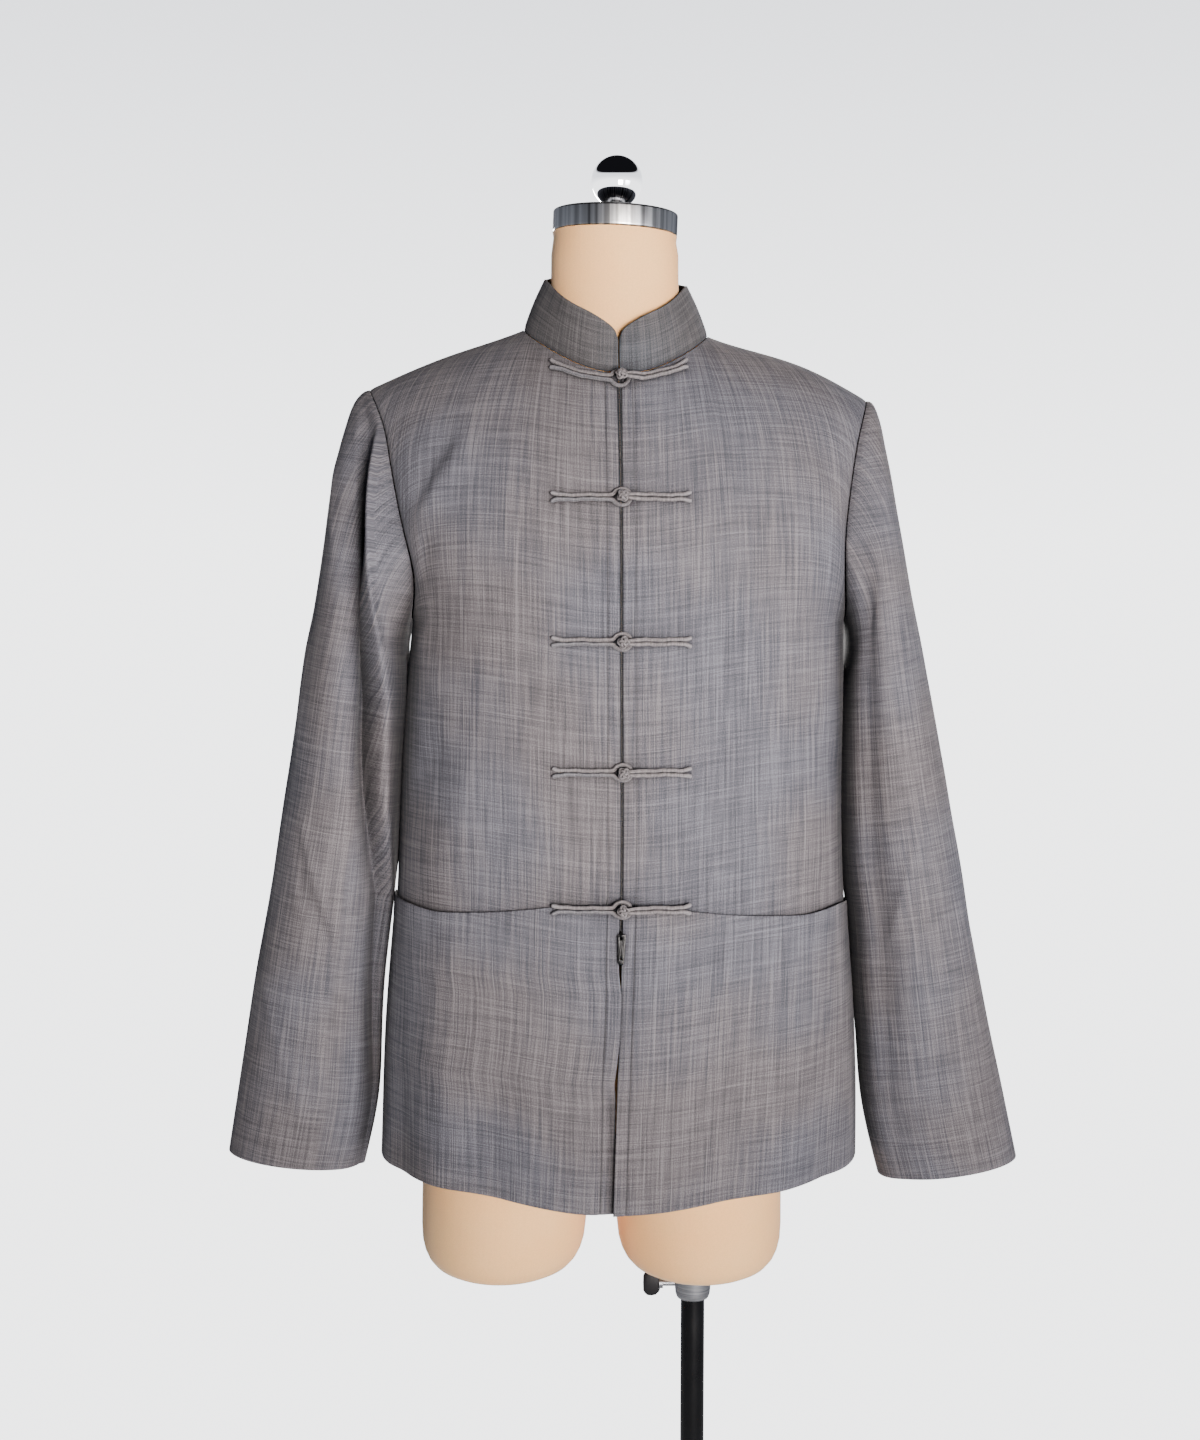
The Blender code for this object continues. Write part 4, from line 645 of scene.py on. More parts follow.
def cloth_wall(name, points, normals, finish, body, stands_for, around=False,
               thick=CLOTH, seams=(), grain=None):
    """A closed sheet from its outer face. The middle of the cloth lies half a wall inside it.
    Every open edge is drawn back by half a wall, more at the seams, fading over 10 mm, and then
    rounded by three narrow lines on which the wall thins. The UV map is the distance along the
    rows and the columns in metres, so that the weave keeps its size and runs with the grain."""
    half = thick / 2
    middle = points - normals * half
    fade_over = 0.010
    thin = np.ones(points.shape[:2])
    edges = [("low", 0), ("high", 0)] + ([] if around else [("low", 1), ("high", 1)])
    for end, axis in edges:
        run = lengths(middle, axis)
        tangent = unit(np.gradient(middle, axis=axis))
        if end == "high":
            run, tangent = run.max(axis=axis, keepdims=True) - run, -tangent
        back = half * 0.45 + SEAM / 2 if (end, axis) in seams else half
        middle = middle + tangent * (back * (1 - smooth_step(run / fade_over)))[..., None]
    u = lengths(middle, 1)
    v = lengths(middle, 0)
    if grain is not None:
        u, v = grain(u, v)
    if around:
        wrap = np.linalg.norm(middle[:, 0] - middle[:, -1], axis=-1)[:, None]
        u_full, v_full = np.hstack([u, u[:, -1:] + wrap]), np.hstack([v, v[:, :1]])
    else:
        u_full, v_full = u, v
    for axis in ((0,) if around else (0, 1)):
        take = (lambda grid, i: grid[i]) if axis == 0 else (lambda grid, i: grid[:, i])
        for i, j in ((0, 1), (-1, -2)):
            way = unit(take(middle, i) - take(middle, j))
            reach = half * (0.45 if ("low" if i == 0 else "high", axis) in seams else 1.0)
            new = [(take(middle, i) + way * reach * out) for out in (0.50, 0.87, 1.0)]
            thinner = [take(thin, i) * part for part in (0.87, 0.50, 0.06)]
            stack = (lambda old, lines: np.concatenate(
                [np.stack(lines[::-1], axis=axis), old] if i == 0 else
                [old, np.stack(lines, axis=axis)], axis=axis))
            middle = stack(middle, new)
            thin = stack(thin, thinner)
            normals = stack(normals, [take(normals, i)] * 3)
            u_full = stack(u_full, [take(u_full, i)] * 3)
            v_full = stack(v_full, [take(v_full, i)] * 3)
    rows, columns = thin.shape
    out = (half * thin)[..., None] * normals
    outer, inner = middle + out, middle - out
    quads = grid_quads(rows, columns, around=around)
    count = rows * columns
    index = np.arange(count).reshape(rows, columns)
    uv_index = np.arange(u_full.size).reshape(u_full.shape)
    uv_quads = grid_quads(rows, u_full.shape[1])
    if around:
        ring = np.hstack([index, index[:, :1]])
        lines, uv_lines = [ring[0], ring[-1][::-1]], [uv_index[0], uv_index[-1][::-1]]
    else:
        walk = lambda grid: np.concatenate([grid[0], grid[1:, -1], grid[-1, -2::-1], grid[-2::-1, 0]])
        lines, uv_lines = [walk(index)], [walk(uv_index)]
    rims = [np.stack([line[:-1], line[:-1] + count, line[1:] + count, line[1:]], axis=-1)
            for line in lines]
    uv_rims = [np.stack([line[:-1], line[:-1], line[1:], line[1:]], axis=-1) for line in uv_lines]
    all_quads = np.concatenate([quads, quads[:, ::-1] + count, *rims])
    all_uv = np.concatenate([uv_quads, uv_quads[:, ::-1], *uv_rims]).ravel()
    uv = np.column_stack([u_full.ravel(), v_full.ravel()])[all_uv]
    vertices = np.concatenate([outer.reshape(-1, 3), inner.reshape(-1, 3)])
    return put_together(name, vertices, all_quads, finish, body, stands_for, corner_uv=uv)


def suiting_finish(name, tone):
    """Lightweight wool suiting woven from melange yarns, matt with a faint nap. The yarns, really
    0.4 mm, are drawn 1 mm wide so that they show, darker and paler about every 6 or 7 cm of
    their length. A few thicker slubs stand out pale both ways, and single fibres are flecks."""
    made, shader = new_finish(name, {"Roughness": 0.88, "IOR": 1.46, "Sheen Weight": 0.22,
                                     "Sheen Roughness": 0.40, "Specular IOR Level": 0.25})
    tree = made.node_tree
    weave = add_node(tree, "ShaderNodeUVMap", {"uv_map": "weave"}).outputs[0]
    place = add_node(tree, "ShaderNodeSeparateXYZ", None, {0: weave})

    def mixed(first, second, how="ADD", factor=None):
        inputs = {0: first, 1: second}
        if factor is not None:
            inputs[2] = factor
        return add_node(tree, "ShaderNodeMath", {"operation": how}, inputs).outputs[0]

    def yarns(across, along, per_metre, change, detail=1.0):
        """A row of yarns side by side, each its own line of noise: the yarn's number picks the
        line, and the shade changes along it so many times a metre."""
        number = mixed(mixed(across, per_metre, "MULTIPLY"), 0.0, "FLOOR")
        spot = add_node(tree, "ShaderNodeCombineXYZ", None, {
            0: mixed(number, 7.31, "MULTIPLY"),
            1: mixed(along, change, "MULTIPLY_ADD", mixed(number, 3.77, "MULTIPLY"))}).outputs[0]
        return add_node(tree, "ShaderNodeTexNoise", {"noise_dimensions": "2D"}, {
            "Vector": spot, "Scale": 1.0, "Detail": detail, "Roughness": 0.5}).outputs[0]

    warp = yarns(place.outputs[0], place.outputs[1], 1000.0, 14.0)
    weft = yarns(place.outputs[1], place.outputs[0], 960.0, 17.0)
    slub_up = yarns(place.outputs[0], place.outputs[1], 640.0, 5.0, 0.0)
    slub_across = yarns(place.outputs[1], place.outputs[0], 600.0, 9.0, 0.0)
    fleck = add_node(tree, "ShaderNodeTexNoise", {"noise_dimensions": "2D"}, {
        "Vector": weave, "Scale": 1200.0, "Detail": 0.0}).outputs[0]
    cloud = add_node(tree, "ShaderNodeTexNoise", {"noise_dimensions": "2D"}, {
        "Vector": weave, "Scale": 7.0, "Detail": 1.0}).outputs[0]
    threads = mixed(mixed(warp, 1.05, "MULTIPLY"), mixed(weft, 0.75, "MULTIPLY"))
    slubs = mixed(mixed(slub_up, mixed(slub_across, 0.05, "SUBTRACT"), "MAXIMUM"), 0.66, "SUBTRACT")
    slubs = mixed(mixed(slubs, 0.0, "MAXIMUM"), 0.36, "MULTIPLY")
    level = mixed(mixed(mixed(threads, mixed(fleck, 0.75, "MULTIPLY")), 2.55, "DIVIDE"), slubs)
    dark, mid, pale = tone["yarns"]
    greys = ramp(tree, level, [(0.34, dark), (0.50, mid), (0.66, pale)])
    tint = ramp(tree, mixed(mixed(warp, 0.3, "MULTIPLY"), mixed(cloud, 0.7, "MULTIPLY")),
                [(0.40, tone["cool"]), (0.60, tone["warm"])])
    woven = add_node(tree, "ShaderNodeMix", {"data_type": "RGBA", "blend_type": "MULTIPLY"}, {
        0: 1.0, 6: greys, 7: tint}).outputs[2]
    # painted shade: an ambient occlusion factor darkens the colour in every narrow place, at seams, in folds
    # and beside the cords
    painted_crevice_shade = add_node(tree, "ShaderNodeAmbientOcclusion", {"samples": 2}, {
        "Distance": tone["painted_crevice_shade"]}).outputs["AO"]
    woven = add_node(tree, "ShaderNodeMix", {"data_type": "RGBA", "blend_type": "MULTIPLY"}, {
        0: 1.0, 6: woven, 7: ramp(tree, painted_crevice_shade, [(0.30, "#262527"), (0.86, "#FFFFFF")])}).outputs[2]
    relief = add_node(tree, "ShaderNodeBump", None, {
        "Height": level, "Strength": 0.35, "Distance": 0.0004})
    tree.links.new(woven, shader.inputs["Base Color"])
    tree.links.new(relief.outputs[0], shader.inputs["Normal"])
    tree.links.new(ramp(tree, level, [(0.4, "#9AA0AC"), (0.6, "#D6D2D0")]), shader.inputs["Sheen Tint"])
    return made


suiting = suiting_finish("grey_melange_wool_suiting", {
    "yarns": ("#414043", "#59575A", "#737174"), "cool": "#F1F5FD", "warm": "#FFFAF7",
    "painted_crevice_shade": 0.028})  # how far apart two cloths may be and still get painted shade from each other

HALF_COLUMNS = 78
LOW_ROWS, CHEST_ROWS, YOKE_ROWS = 56, 56, 84
panel_rows = np.concatenate([np.linspace(0, 1, LOW_ROWS + 1), np.linspace(1, 2, CHEST_ROWS + 1)[1:],
                             np.linspace(2, 3, YOKE_ROWS + 1)[1:]])
side_columns = np.linspace(0, 1, HALF_COLUMNS)
UNDERARM_ROW = LOW_ROWS + CHEST_ROWS


def armhole_dip(points, rows_from):
    """How near each point is to the armhole edge, as a Gaussian of 3 mm on either side."""
    edge = points[rows_from:, -1]
    apart = np.full(points.shape[:2], 1.0)
    apart[rows_from:] = np.linalg.norm(points[rows_from:] - edge[:, None], axis=-1)
    apart[:rows_from] = np.linalg.norm(points[:rows_from] - edge[0], axis=-1)
    return np.exp(-((apart / 0.0030) ** 2))


def drape(u, z, waves):
    """Upright folds that grow towards the hem: each wave is (u, width, height, start), a
    Gaussian round u whose height rises from 0 at the height start to full at the hem."""
    total = np.zeros(u.shape)
    for centre, width, height, start in waves:
        grow = smooth_step((start - z) / (start - 0.76))
        total += height * grow * np.exp(-(((u - centre) / width) ** 2))
    return total


# Creases of the back, on a plan of (distance from the middle, height); left is positive
BACK_CREASES = [
    # u0, v0, u1, v1, width on the left, width on the right, height, bow
    (-0.212, 1.270, -0.120, 1.400, 0.012, 0.020, 0.0024, 0.006),
    (-0.196, 1.330, -0.165, 1.420, 0.008, 0.012, -0.0018, -0.004),
    (0.214, 1.262, 0.118, 1.385, 0.018, 0.012, 0.0026, -0.007),
    (0.190, 1.345, 0.160, 1.425, 0.011, 0.008, -0.0016, 0.003),
    (-0.150, 1.120, -0.205, 1.205, 0.014, 0.018, -0.0020, 0.005),
    (0.140, 1.090, 0.210, 1.190, 0.018, 0.014, -0.0022, -0.006),
    (-0.060, 1.395, 0.050, 1.405, 0.012, 0.016, 0.0013, 0.007),
]
BACK_WAVES = [
    # u, width, height, start
    (-0.155, 0.026, 0.0055, 1.12), (-0.095, 0.022, -0.0050, 1.06), (-0.030, 0.028, 0.0045, 1.18),
    (0.045, 0.024, -0.0048, 1.08), (0.105, 0.026, 0.0052, 1.14), (0.170, 0.022, -0.0040, 1.02),
]
quarters = {side: panel(side, 1, side_columns, panel_rows) for side in (-1, 1)}
back = np.concatenate([quarters[-1][:, :0:-1], quarters[1]], axis=1)
back_normals = grid_normals(back)
back_u = lengths(back, 1)
back_u = back_u - back_u[:, HALF_COLUMNS - 1 : HALF_COLUMNS]
near_seam = np.maximum(armhole_dip(back, UNDERARM_ROW), armhole_dip(back[:, ::-1], UNDERARM_ROW)[:, ::-1])
lift = bump_field(back_u, back[..., 2], BACK_CREASES) + drape(back_u, back[..., 2], BACK_WAVES)
back_side = np.minimum(back_u - back_u[:, :1], back_u[:, -1:] - back_u)
lift *= smooth_step(back_side / SIDE_FADE)
lift -= SEAM_DIP * near_seam
back = back + back_normals * lift[..., None]
back_piece = cloth_wall("back_panel", back, grid_normals(back), suiting, "form", ["back"],
                        seams=(("low", 1), ("high", 1), ("high", 0)),
                        grain=lambda u, v: (u - u[:, HALF_COLUMNS - 1 : HALF_COLUMNS], v))

# ------------------------------------------------------------------ fronts
# Two fronts of the same suiting meet edge to edge over the zip. Their edges are faced and
# topstitched 11 mm in, and the sewing pulls a fine groove along the line.

STITCH_IN = 0.01080
STITCH_LENGTH = 0.0021
STITCH_PITCH = 0.0027
GROOVE_WIDTH = 0.0011
EDGE_WIDTH = 0.011  # how far a front's edge lifts or curls from its own line
# Creases of the fronts, on a plan of (distance from the centre front, height)
FRONT_CREASES = {
    -1: [
        (0.206, 1.312, 0.131, 1.418, 0.014, 0.010, 0.0034, 0.004),
        (0.197, 1.335, 0.150, 1.425, 0.008, 0.013, -0.0026, 0.005),
        (0.170, 1.332, 0.187, 1.275, 0.004, 0.010, -0.0024, 0.002),
        (0.219, 1.440, 0.212, 1.355, 0.008, 0.008, -0.0026, 0.000),
        (0.122, 1.150, 0.192, 1.005, 0.018, 0.024, 0.0026, -0.006),
        (0.150, 1.165, 0.215, 1.060, 0.012, 0.018, -0.0022, 0.003),
        (0.205, 1.250, 0.160, 1.180, 0.012, 0.020, 0.0018, 0.002),
    ],
    1: [
        (0.218, 1.300, 0.160, 1.395, 0.010, 0.016, 0.0022, -0.004),
        (0.205, 1.345, 0.172, 1.430, 0.012, 0.008, -0.0018, 0.003),
        (0.118, 1.140, 0.200, 1.010, 0.024, 0.018, 0.0018, 0.006),
        (0.160, 1.190, 0.225, 1.100, 0.016, 0.012, -0.0018, -0.004),
    ],
}
FRONT_WAVES = {
    -1: [(0.105, 0.022, -0.0030, 1.02), (0.155, 0.024, 0.0048, 1.10), (0.205, 0.018, -0.0040, 0.98)],
    1: [(0.098, 0.020, -0.0024, 1.00), (0.148, 0.024, 0.0040, 1.08), (0.200, 0.018, -0.0034, 0.96)],
}
# How far each front's edge stands proud (or curls back) near the centre, by height
EDGE_LIFT = {
    "z": [0.742, 0.790, 0.840, 0.858, 0.876, 0.900, 0.935, 0.955, 0.995],
    -1: [-0.0054, -0.0054, -0.0040, -0.0012, 0.0016, 0.0022, 0.0020, 0.0004, 0.0000],
    1: [0.0014, 0.0014, 0.0010, 0.0000, -0.0012, -0.0018, -0.0016, -0.0004, 0.0000],
}
# how far the right edge reaches past its own line: under the left one at the hem, over it above
EDGE_OVERLAP = [0.0030, 0.0028, 0.0016, 0.0000, 0.0018, 0.0034, 0.0032, 0.0006, 0.0000]
fine = np.linspace(0, 0.052, 22)
front_columns = np.concatenate([fine, np.linspace(0.052, 1, 62)[1:]])


def front_lift(side, points, u):
    """Offset of a front from its plain form: creases, drape, the lift of its edge, the dip at
    the armhole, and the stitched groove."""
    z = points[..., 2]
    lift = bump_field(u, z, FRONT_CREASES[side]) + drape(u, z, FRONT_WAVES[side])
    lift *= smooth_step((u[:, -1:] - u) / SIDE_FADE)
    edge = np.interp(z, EDGE_LIFT["z"], EDGE_LIFT[side])
    lift += edge * np.exp(-((u / EDGE_WIDTH) ** 2))
    lift -= SEAM_DIP * armhole_dip(points, UNDERARM_ROW)
    lift -= 0.0007 * np.exp(-(((u - STITCH_IN) / GROOVE_WIDTH) ** 2))
    return lift


fronts = {}
for side in (-1, 1):
    plain = panel(side, -1, front_columns, panel_rows)
    normals = grid_normals(plain)
    u = lengths(plain, 1)
    shaped = plain + normals * front_lift(side, plain, u)[..., None]
    if side < 0:
        past = np.interp(plain[..., 2], EDGE_LIFT["z"], EDGE_OVERLAP)
        shaped[..., 0] += past * np.exp(-((u / EDGE_WIDTH) ** 2))
    fronts[side] = plain, shaped, grid_normals(shaped), u
    front_piece = cloth_wall(f"front_panel_{side_name(side)}", shaped, fronts[side][2], suiting,
                             "form", [f"front_{side_name(side)}"],
                             seams=(("high", 1), ("high", 0)), grain=lambda u, v, s=side: (s * u, v))

# ------------------------------------------------------------------ pockets
# A large patch pocket covers each front below the waist. Its mouth is turned in and left open,
# and its other edges are caught in the side seam, the hem and the stitching of the front edge.

MOUTH_GAPE = {
    "share": [0.00, 0.30, 0.45, 0.62, 0.72, 0.80, 0.88, 1.00],
    "off": [0.0000, 0.0000, 0.0006, 0.0018, 0.0024, 0.0012, 0.0001, 0.0000],
}
for side in (-1, 1):
    plain, shaped, normals, u = (part[: LOW_ROWS + 1] for part in fronts[side])
    to_mouth = np.abs(plain[-1:, :, 2] - plain[..., 2])
    near_mouth = np.clip(1 - to_mouth / 0.042, 0, 1) ** 1.5
    gape = np.interp(front_columns, MOUTH_GAPE["share"], MOUTH_GAPE["off"])
    # pressed hems lie thicker: the folded mouth, 18 mm deep, is drawn thicker; the 30 mm foot is not
    folded = 0.0003 * (1 - smooth_step((to_mouth - 0.017) / 0.003))
    off = SEAM + CLOTH + gape * near_mouth + folded
    groove = 0.0004 * np.exp(-(((u - STITCH_IN) / GROOVE_WIDTH) ** 2))
    patch = shaped + normals * (off - groove)[..., None]
    patch[..., 2] += 0.0012 * np.exp(-((plain[..., 2] - plain[:1, :, 2]) / 0.004) ** 2)
    pocket = cloth_wall(f"pocket_patch_{side_name(side)}", patch, grid_normals(patch), suiting, "form",
               [f"pocket_{side_name(side)}"], seams=(("high", 1), ("low", 1)),
               grain=lambda u, v, s=side: (s * u + 0.31, v + 0.13))


def travelled(points):
    """Distance travelled along a line of points, from its first one."""
    return np.concatenate([[0], np.cumsum(np.linalg.norm(np.diff(points, axis=0), axis=1))])


def read_along(at, run, line):
    """Points of a line at the given distances along it, by linear interpolation."""
    return np.column_stack([np.interp(at, run, line[:, k]) for k in range(3)])


def capsules(centres, runs, outs, radius, rounds=3, sides=6):
    """Short rounded bars: each lies along its own run, on either side of its centre, and is
    squashed by a third along its out direction."""
    along = unit(runs)
    across = unit(np.cross(along, outs))
    over = np.cross(across, along)
    cap = np.linspace(0, math.pi / 2, rounds + 1)
    length = np.linalg.norm(runs, axis=-1)[:, None]
    place = np.concatenate([-length - radius * np.cos(cap), length + radius * np.cos(cap[::-1])], axis=1)
    size = radius * np.concatenate([np.sin(cap), np.sin(cap[::-1])])
    angle = np.arange(sides) * 2 * math.pi / sides
    points = (centres[:, None, None] + along[:, None, None] * place[:, :, None, None]
              + across[:, None, None] * (size[:, None] * np.cos(angle))[None, :, :, None]
              + over[:, None, None] * (0.67 * size[:, None] * np.sin(angle))[None, :, :, None])
    rings = 2 * (rounds + 1)
    quads = grid_quads(rings, sides, around=True)
    quads = quads[None] + (np.arange(len(centres)) * rings * sides)[:, None, None]
    return points.reshape(-1, 3), quads.reshape(-1, 4)


thread, thread_shader = new_finish("dark_polyester_thread", {
    "Base Color": linear("#3A383C"), "Roughness": 0.6, "IOR": 1.5, "Sheen Weight": 0.3})
tree = thread.node_tree
place = add_node(tree, "ShaderNodeTexCoord").outputs["Object"]
# twisted plies, drawn 0.8 mm thick so that they show, lighten and darken the thread along its run
ply = add_node(tree, "ShaderNodeTexNoise", None, {"Vector": place, "Scale": 2400.0})
tree.links.new(ramp(tree, ply.outputs[0], [(0.35, "#151517"), (0.65, "#2C2B2F")]),
               thread_shader.inputs["Base Color"])

for side in (-1, 1):
    plain, shaped, normals, u = fronts[side]
    near = int(np.argmin(np.abs(front_columns - 0.039)))
    # the line of stitches, from the hem to the neck, read along the front at STITCH_IN
    take = np.array([[np.interp(STITCH_IN, u[i, :near], grid[i, :near, k]) for k in range(3)]
                     for grid in (shaped, normals) for i in range(len(u))])
    line, out = take[: len(u)], take[len(u) :]
    line = line + out * np.where(np.arange(len(u)) <= LOW_ROWS, SEAM + CLOTH, 0.0)[:, None]
    run = travelled(line)
    at = np.arange(0.004, run[-1] - 0.004, STITCH_PITCH)
    centre, away = read_along(at, run, line), read_along(at, run, out)
    ahead = read_along(at + 0.0005, run, line) - centre
    points, quads = capsules(centre - away * 0.00005, unit(ahead) * (STITCH_LENGTH / 2 - 0.0002),
                             away, 0.00040)
    put_together(f"edge_stitching_{side_name(side)}", points, quads, thread, "form")

# ------------------------------------------------------------------ sleeves
# Two-piece sleeves in the same cloth, eased into the armholes, hang almost straight with the
# cuffs a little forward. The slack breaks into one long fold in front and one behind.

SLEEVE = {
    -1: {
        "out_x": [0.2232, 0.2307, 0.2387, 0.2455, 0.2526, 0.2590, 0.2644, 0.2732, 0.2830,
                  0.2919, 0.3009, 0.3109, 0.3200, 0.3300, 0.3393, 0.3485, 0.3585],
        "out_z": [1.4548, 1.4510, 1.4410, 1.4214, 1.3950, 1.3600, 1.3210, 1.2670, 1.2135,
                  1.1590, 1.1044, 1.0496, 0.9940, 0.9385, 0.8826, 0.8260, 0.7650],
        "in_x": [0.1860, 0.1886, 0.1902, 0.1910, 0.1909, 0.1900, 0.1888, 0.1884, 0.1908,
                 0.1936, 0.1964, 0.2022, 0.2088, 0.2150, 0.2180, 0.2215, 0.2345],
        "in_z": [1.2500, 1.2420, 1.2340, 1.2260, 1.2170, 1.2060, 1.1930, 1.1740, 1.1480,
                 1.1120, 1.0710, 1.0250, 0.9750, 0.9230, 0.8690, 0.8135, 0.7520],
    },
    1: {
        "out_x": [0.2195, 0.2259, 0.2320, 0.2360, 0.2400, 0.2450, 0.2517, 0.2615, 0.2713,
                  0.2821, 0.2930, 0.3049, 0.3150, 0.3260, 0.3372, 0.3494, 0.3640],
        "out_z": [1.4450, 1.4410, 1.4258, 1.4060, 1.3850, 1.3560, 1.3210, 1.2670, 1.2135,
                  1.1590, 1.1044, 1.0496, 0.9940, 0.9385, 0.8826, 0.8260, 0.7590],
        "in_x": [0.2005, 0.2025, 0.2034, 0.2036, 0.2031, 0.2018, 0.1998, 0.1984, 0.1976,
                 0.1972, 0.1984, 0.2014, 0.2074, 0.2112, 0.2160, 0.2216, 0.2375],
        "in_z": [1.2500, 1.2420, 1.2340, 1.2260, 1.2170, 1.2060, 1.1930, 1.1740, 1.1480,
                 1.1120, 1.0710, 1.0250, 0.9750, 0.9230, 0.8690, 0.8100, 0.7420],
    },
}
SLEEVE_HALF_DEPTH = [0.0650, 0.0665, 0.0680, 0.0695, 0.0705, 0.0712, 0.0715, 0.0712, 0.0705,
                     0.0690, 0.0665, 0.0630, 0.0590, 0.0545, 0.0495, 0.0445, 0.0400]
SLEEVE_FORWARD = 0.0150  # how far the cuffs hang in front of the shoulder seam
SLEEVE_BLEND = 5  # rings over which the armhole's outline turns into an oval
SLEEVE_AROUND = 192
SLEEVE_ROWS = 210
PUCKER_PITCH = 0.0115  # of the ease in the sleeve head
GRAIN_ROW = 80  # the row whose lengths the warp keeps all along the sleeve
# Long folds: a trough whose place round the sleeve is given in degrees from the outer side,
# through the front, at some of the rings; its two flanks have their own widths in degrees
SLEEVE_FOLDS = {
    -1: [
        {"ring": [0.0, 1.2, 2.4, 3.5, 4.3, 5.4, 6.5, 7.4, 8.8, 9.7, 10.6, 11.5, 13.5, 16],
         "place": [24, 39, 62, 82, 92, 104, 117, 126, 132, 135, 146, 162, 166, 168],
         "depth": [0.0000, 0.0070, 0.0180, 0.0250, 0.0270, 0.0280, 0.0280, 0.0270, 0.0250, 0.0220,
                   0.0180, 0.0130, 0.0070, 0.0020],
         "outer": [18, 26, 36, 42, 44, 44, 42, 38, 32, 26, 26, 32, 28, 22], "inner": 5.5,
         "overhang": 0.42, "floor": 2.6},
        {"ring": [3, 5, 8, 11, 14, 16], "place": [252, 250, 246, 240, 236, 235],
         "depth": [0.0000, 0.0035, 0.0060, 0.0062, 0.0035, 0.0010],
         "outer": 18, "inner": 12, "overhang": 0.1, "floor": 2.0},
    ],
    1: [
        {"ring": [2, 5, 8, 11, 14, 16], "place": [112, 116, 122, 126, 130, 132],
         "depth": [0.0000, 0.0038, 0.0050, 0.0048, 0.0030, 0.0010],
         "outer": 16, "inner": 12, "overhang": 0.1, "floor": 2.0},
        {"ring": [2, 5, 8, 11, 14, 16], "place": [246, 250, 256, 262, 262, 262],
         "depth": [0.0000, 0.0040, 0.0062, 0.0060, 0.0030, 0.0010],
         "outer": 20, "inner": 14, "overhang": 0.1, "floor": 2.0},
    ],
}
# Short creases on the sleeve laid flat: distance round it from the outer line (front positive),
# and distance down it from the shoulder
SLEEVE_CREASES = {
    -1: [
        (0.020, 0.016, 0.085, 0.060, 0.007, 0.012, 0.0020, 0.002),
        (0.048, 0.020, 0.118, 0.086, 0.006, 0.010, -0.0018, 0.003),
        (0.010, 0.060, 0.058, 0.128, 0.010, 0.008, 0.0016, -0.003),
        (0.055, 0.330, 0.118, 0.372, 0.010, 0.014, 0.0020, 0.004),
        (0.060, 0.392, 0.112, 0.366, 0.008, 0.012, -0.0016, -0.002),
        (-0.150, 0.300, -0.060, 0.345, 0.010, 0.016, 0.0030, 0.006),
        (-0.160, 0.360, -0.052, 0.372, 0.012, 0.010, -0.0028, 0.004),
        (-0.070, 0.030, -0.020, 0.090, 0.010, 0.008, 0.0018, 0.003),
        (0.020, 0.500, 0.110, 0.560, 0.016, 0.012, 0.0014, 0.004),
        (-0.120, 0.470, -0.030, 0.530, 0.012, 0.016, 0.0020, -0.005),
        (0.015, 0.200, 0.050, 0.330, 0.014, 0.014, 0.0016, 0.003),
        (0.000, 0.360, 0.030, 0.560, 0.012, 0.016, -0.0014, 0.004),
    ],
    1: [
        (0.022, 0.014, 0.080, 0.052, 0.012, 0.007, 0.0016, -0.002),
        (0.052, 0.020, 0.108, 0.080, 0.010, 0.006, -0.0014, -0.003),
        (0.070, 0.300, 0.120, 0.350, 0.014, 0.010, 0.0018, -0.004),
        (-0.150, 0.310, -0.058, 0.350, 0.016, 0.010, 0.0028, -0.006),
        (-0.155, 0.372, -0.050, 0.380, 0.010, 0.012, -0.0026, -0.004),
        (-0.072, 0.028, -0.022, 0.092, 0.008, 0.010, 0.0018, -0.003),
        (0.012, 0.160, 0.026, 0.400, 0.014, 0.012, 0.0018, 0.003),
        (0.036, 0.380, 0.042, 0.620, 0.012, 0.014, 0.0016, -0.003),
        (0.010, 0.430, 0.016, 0.640, 0.010, 0.010, -0.0012, 0.002),
        (-0.118, 0.480, -0.028, 0.535, 0.016, 0.012, 0.0018, 0.005),
    ],
}


def sleeve_grid(side, armhole, ring, angle):
    """Rings from the armhole's own outline, which fades into ovals: middle + half * cos(angle)
    out and down, and half depth * sin(angle) to the front."""
    table, knots = SLEEVE[side], np.arange(17)
    outer, inner = (np.stack([side * curve_through(ring, knots, table[f"{end}_x"]), 0 * ring,
                              curve_through(ring, knots, table[f"{end}_z"])], axis=-1)
                    for end in ("out", "in"))
    middle = (outer + inner) / 2
    middle[:, 1] = SEAM_Y - SLEEVE_FORWARD * (ring / 16) ** 1.5
    deep = curve_through(ring, knots, SLEEVE_HALF_DEPTH)
    grid = middle[:, None] + (outer - inner)[:, None] / 2 * np.cos(angle)[None, :, None]
    grid[..., 1] -= deep[:, None] * np.sin(angle)
    closed = np.vstack([armhole, armhole[:1]])
    run = travelled(closed)
    seat = read_along(angle % (2 * math.pi), run / run[-1] * 2 * math.pi, closed)
    fade = smooth_step(1 - ring / SLEEVE_BLEND)
    return grid + (seat - grid[0])[None] * fade[:, None, None]


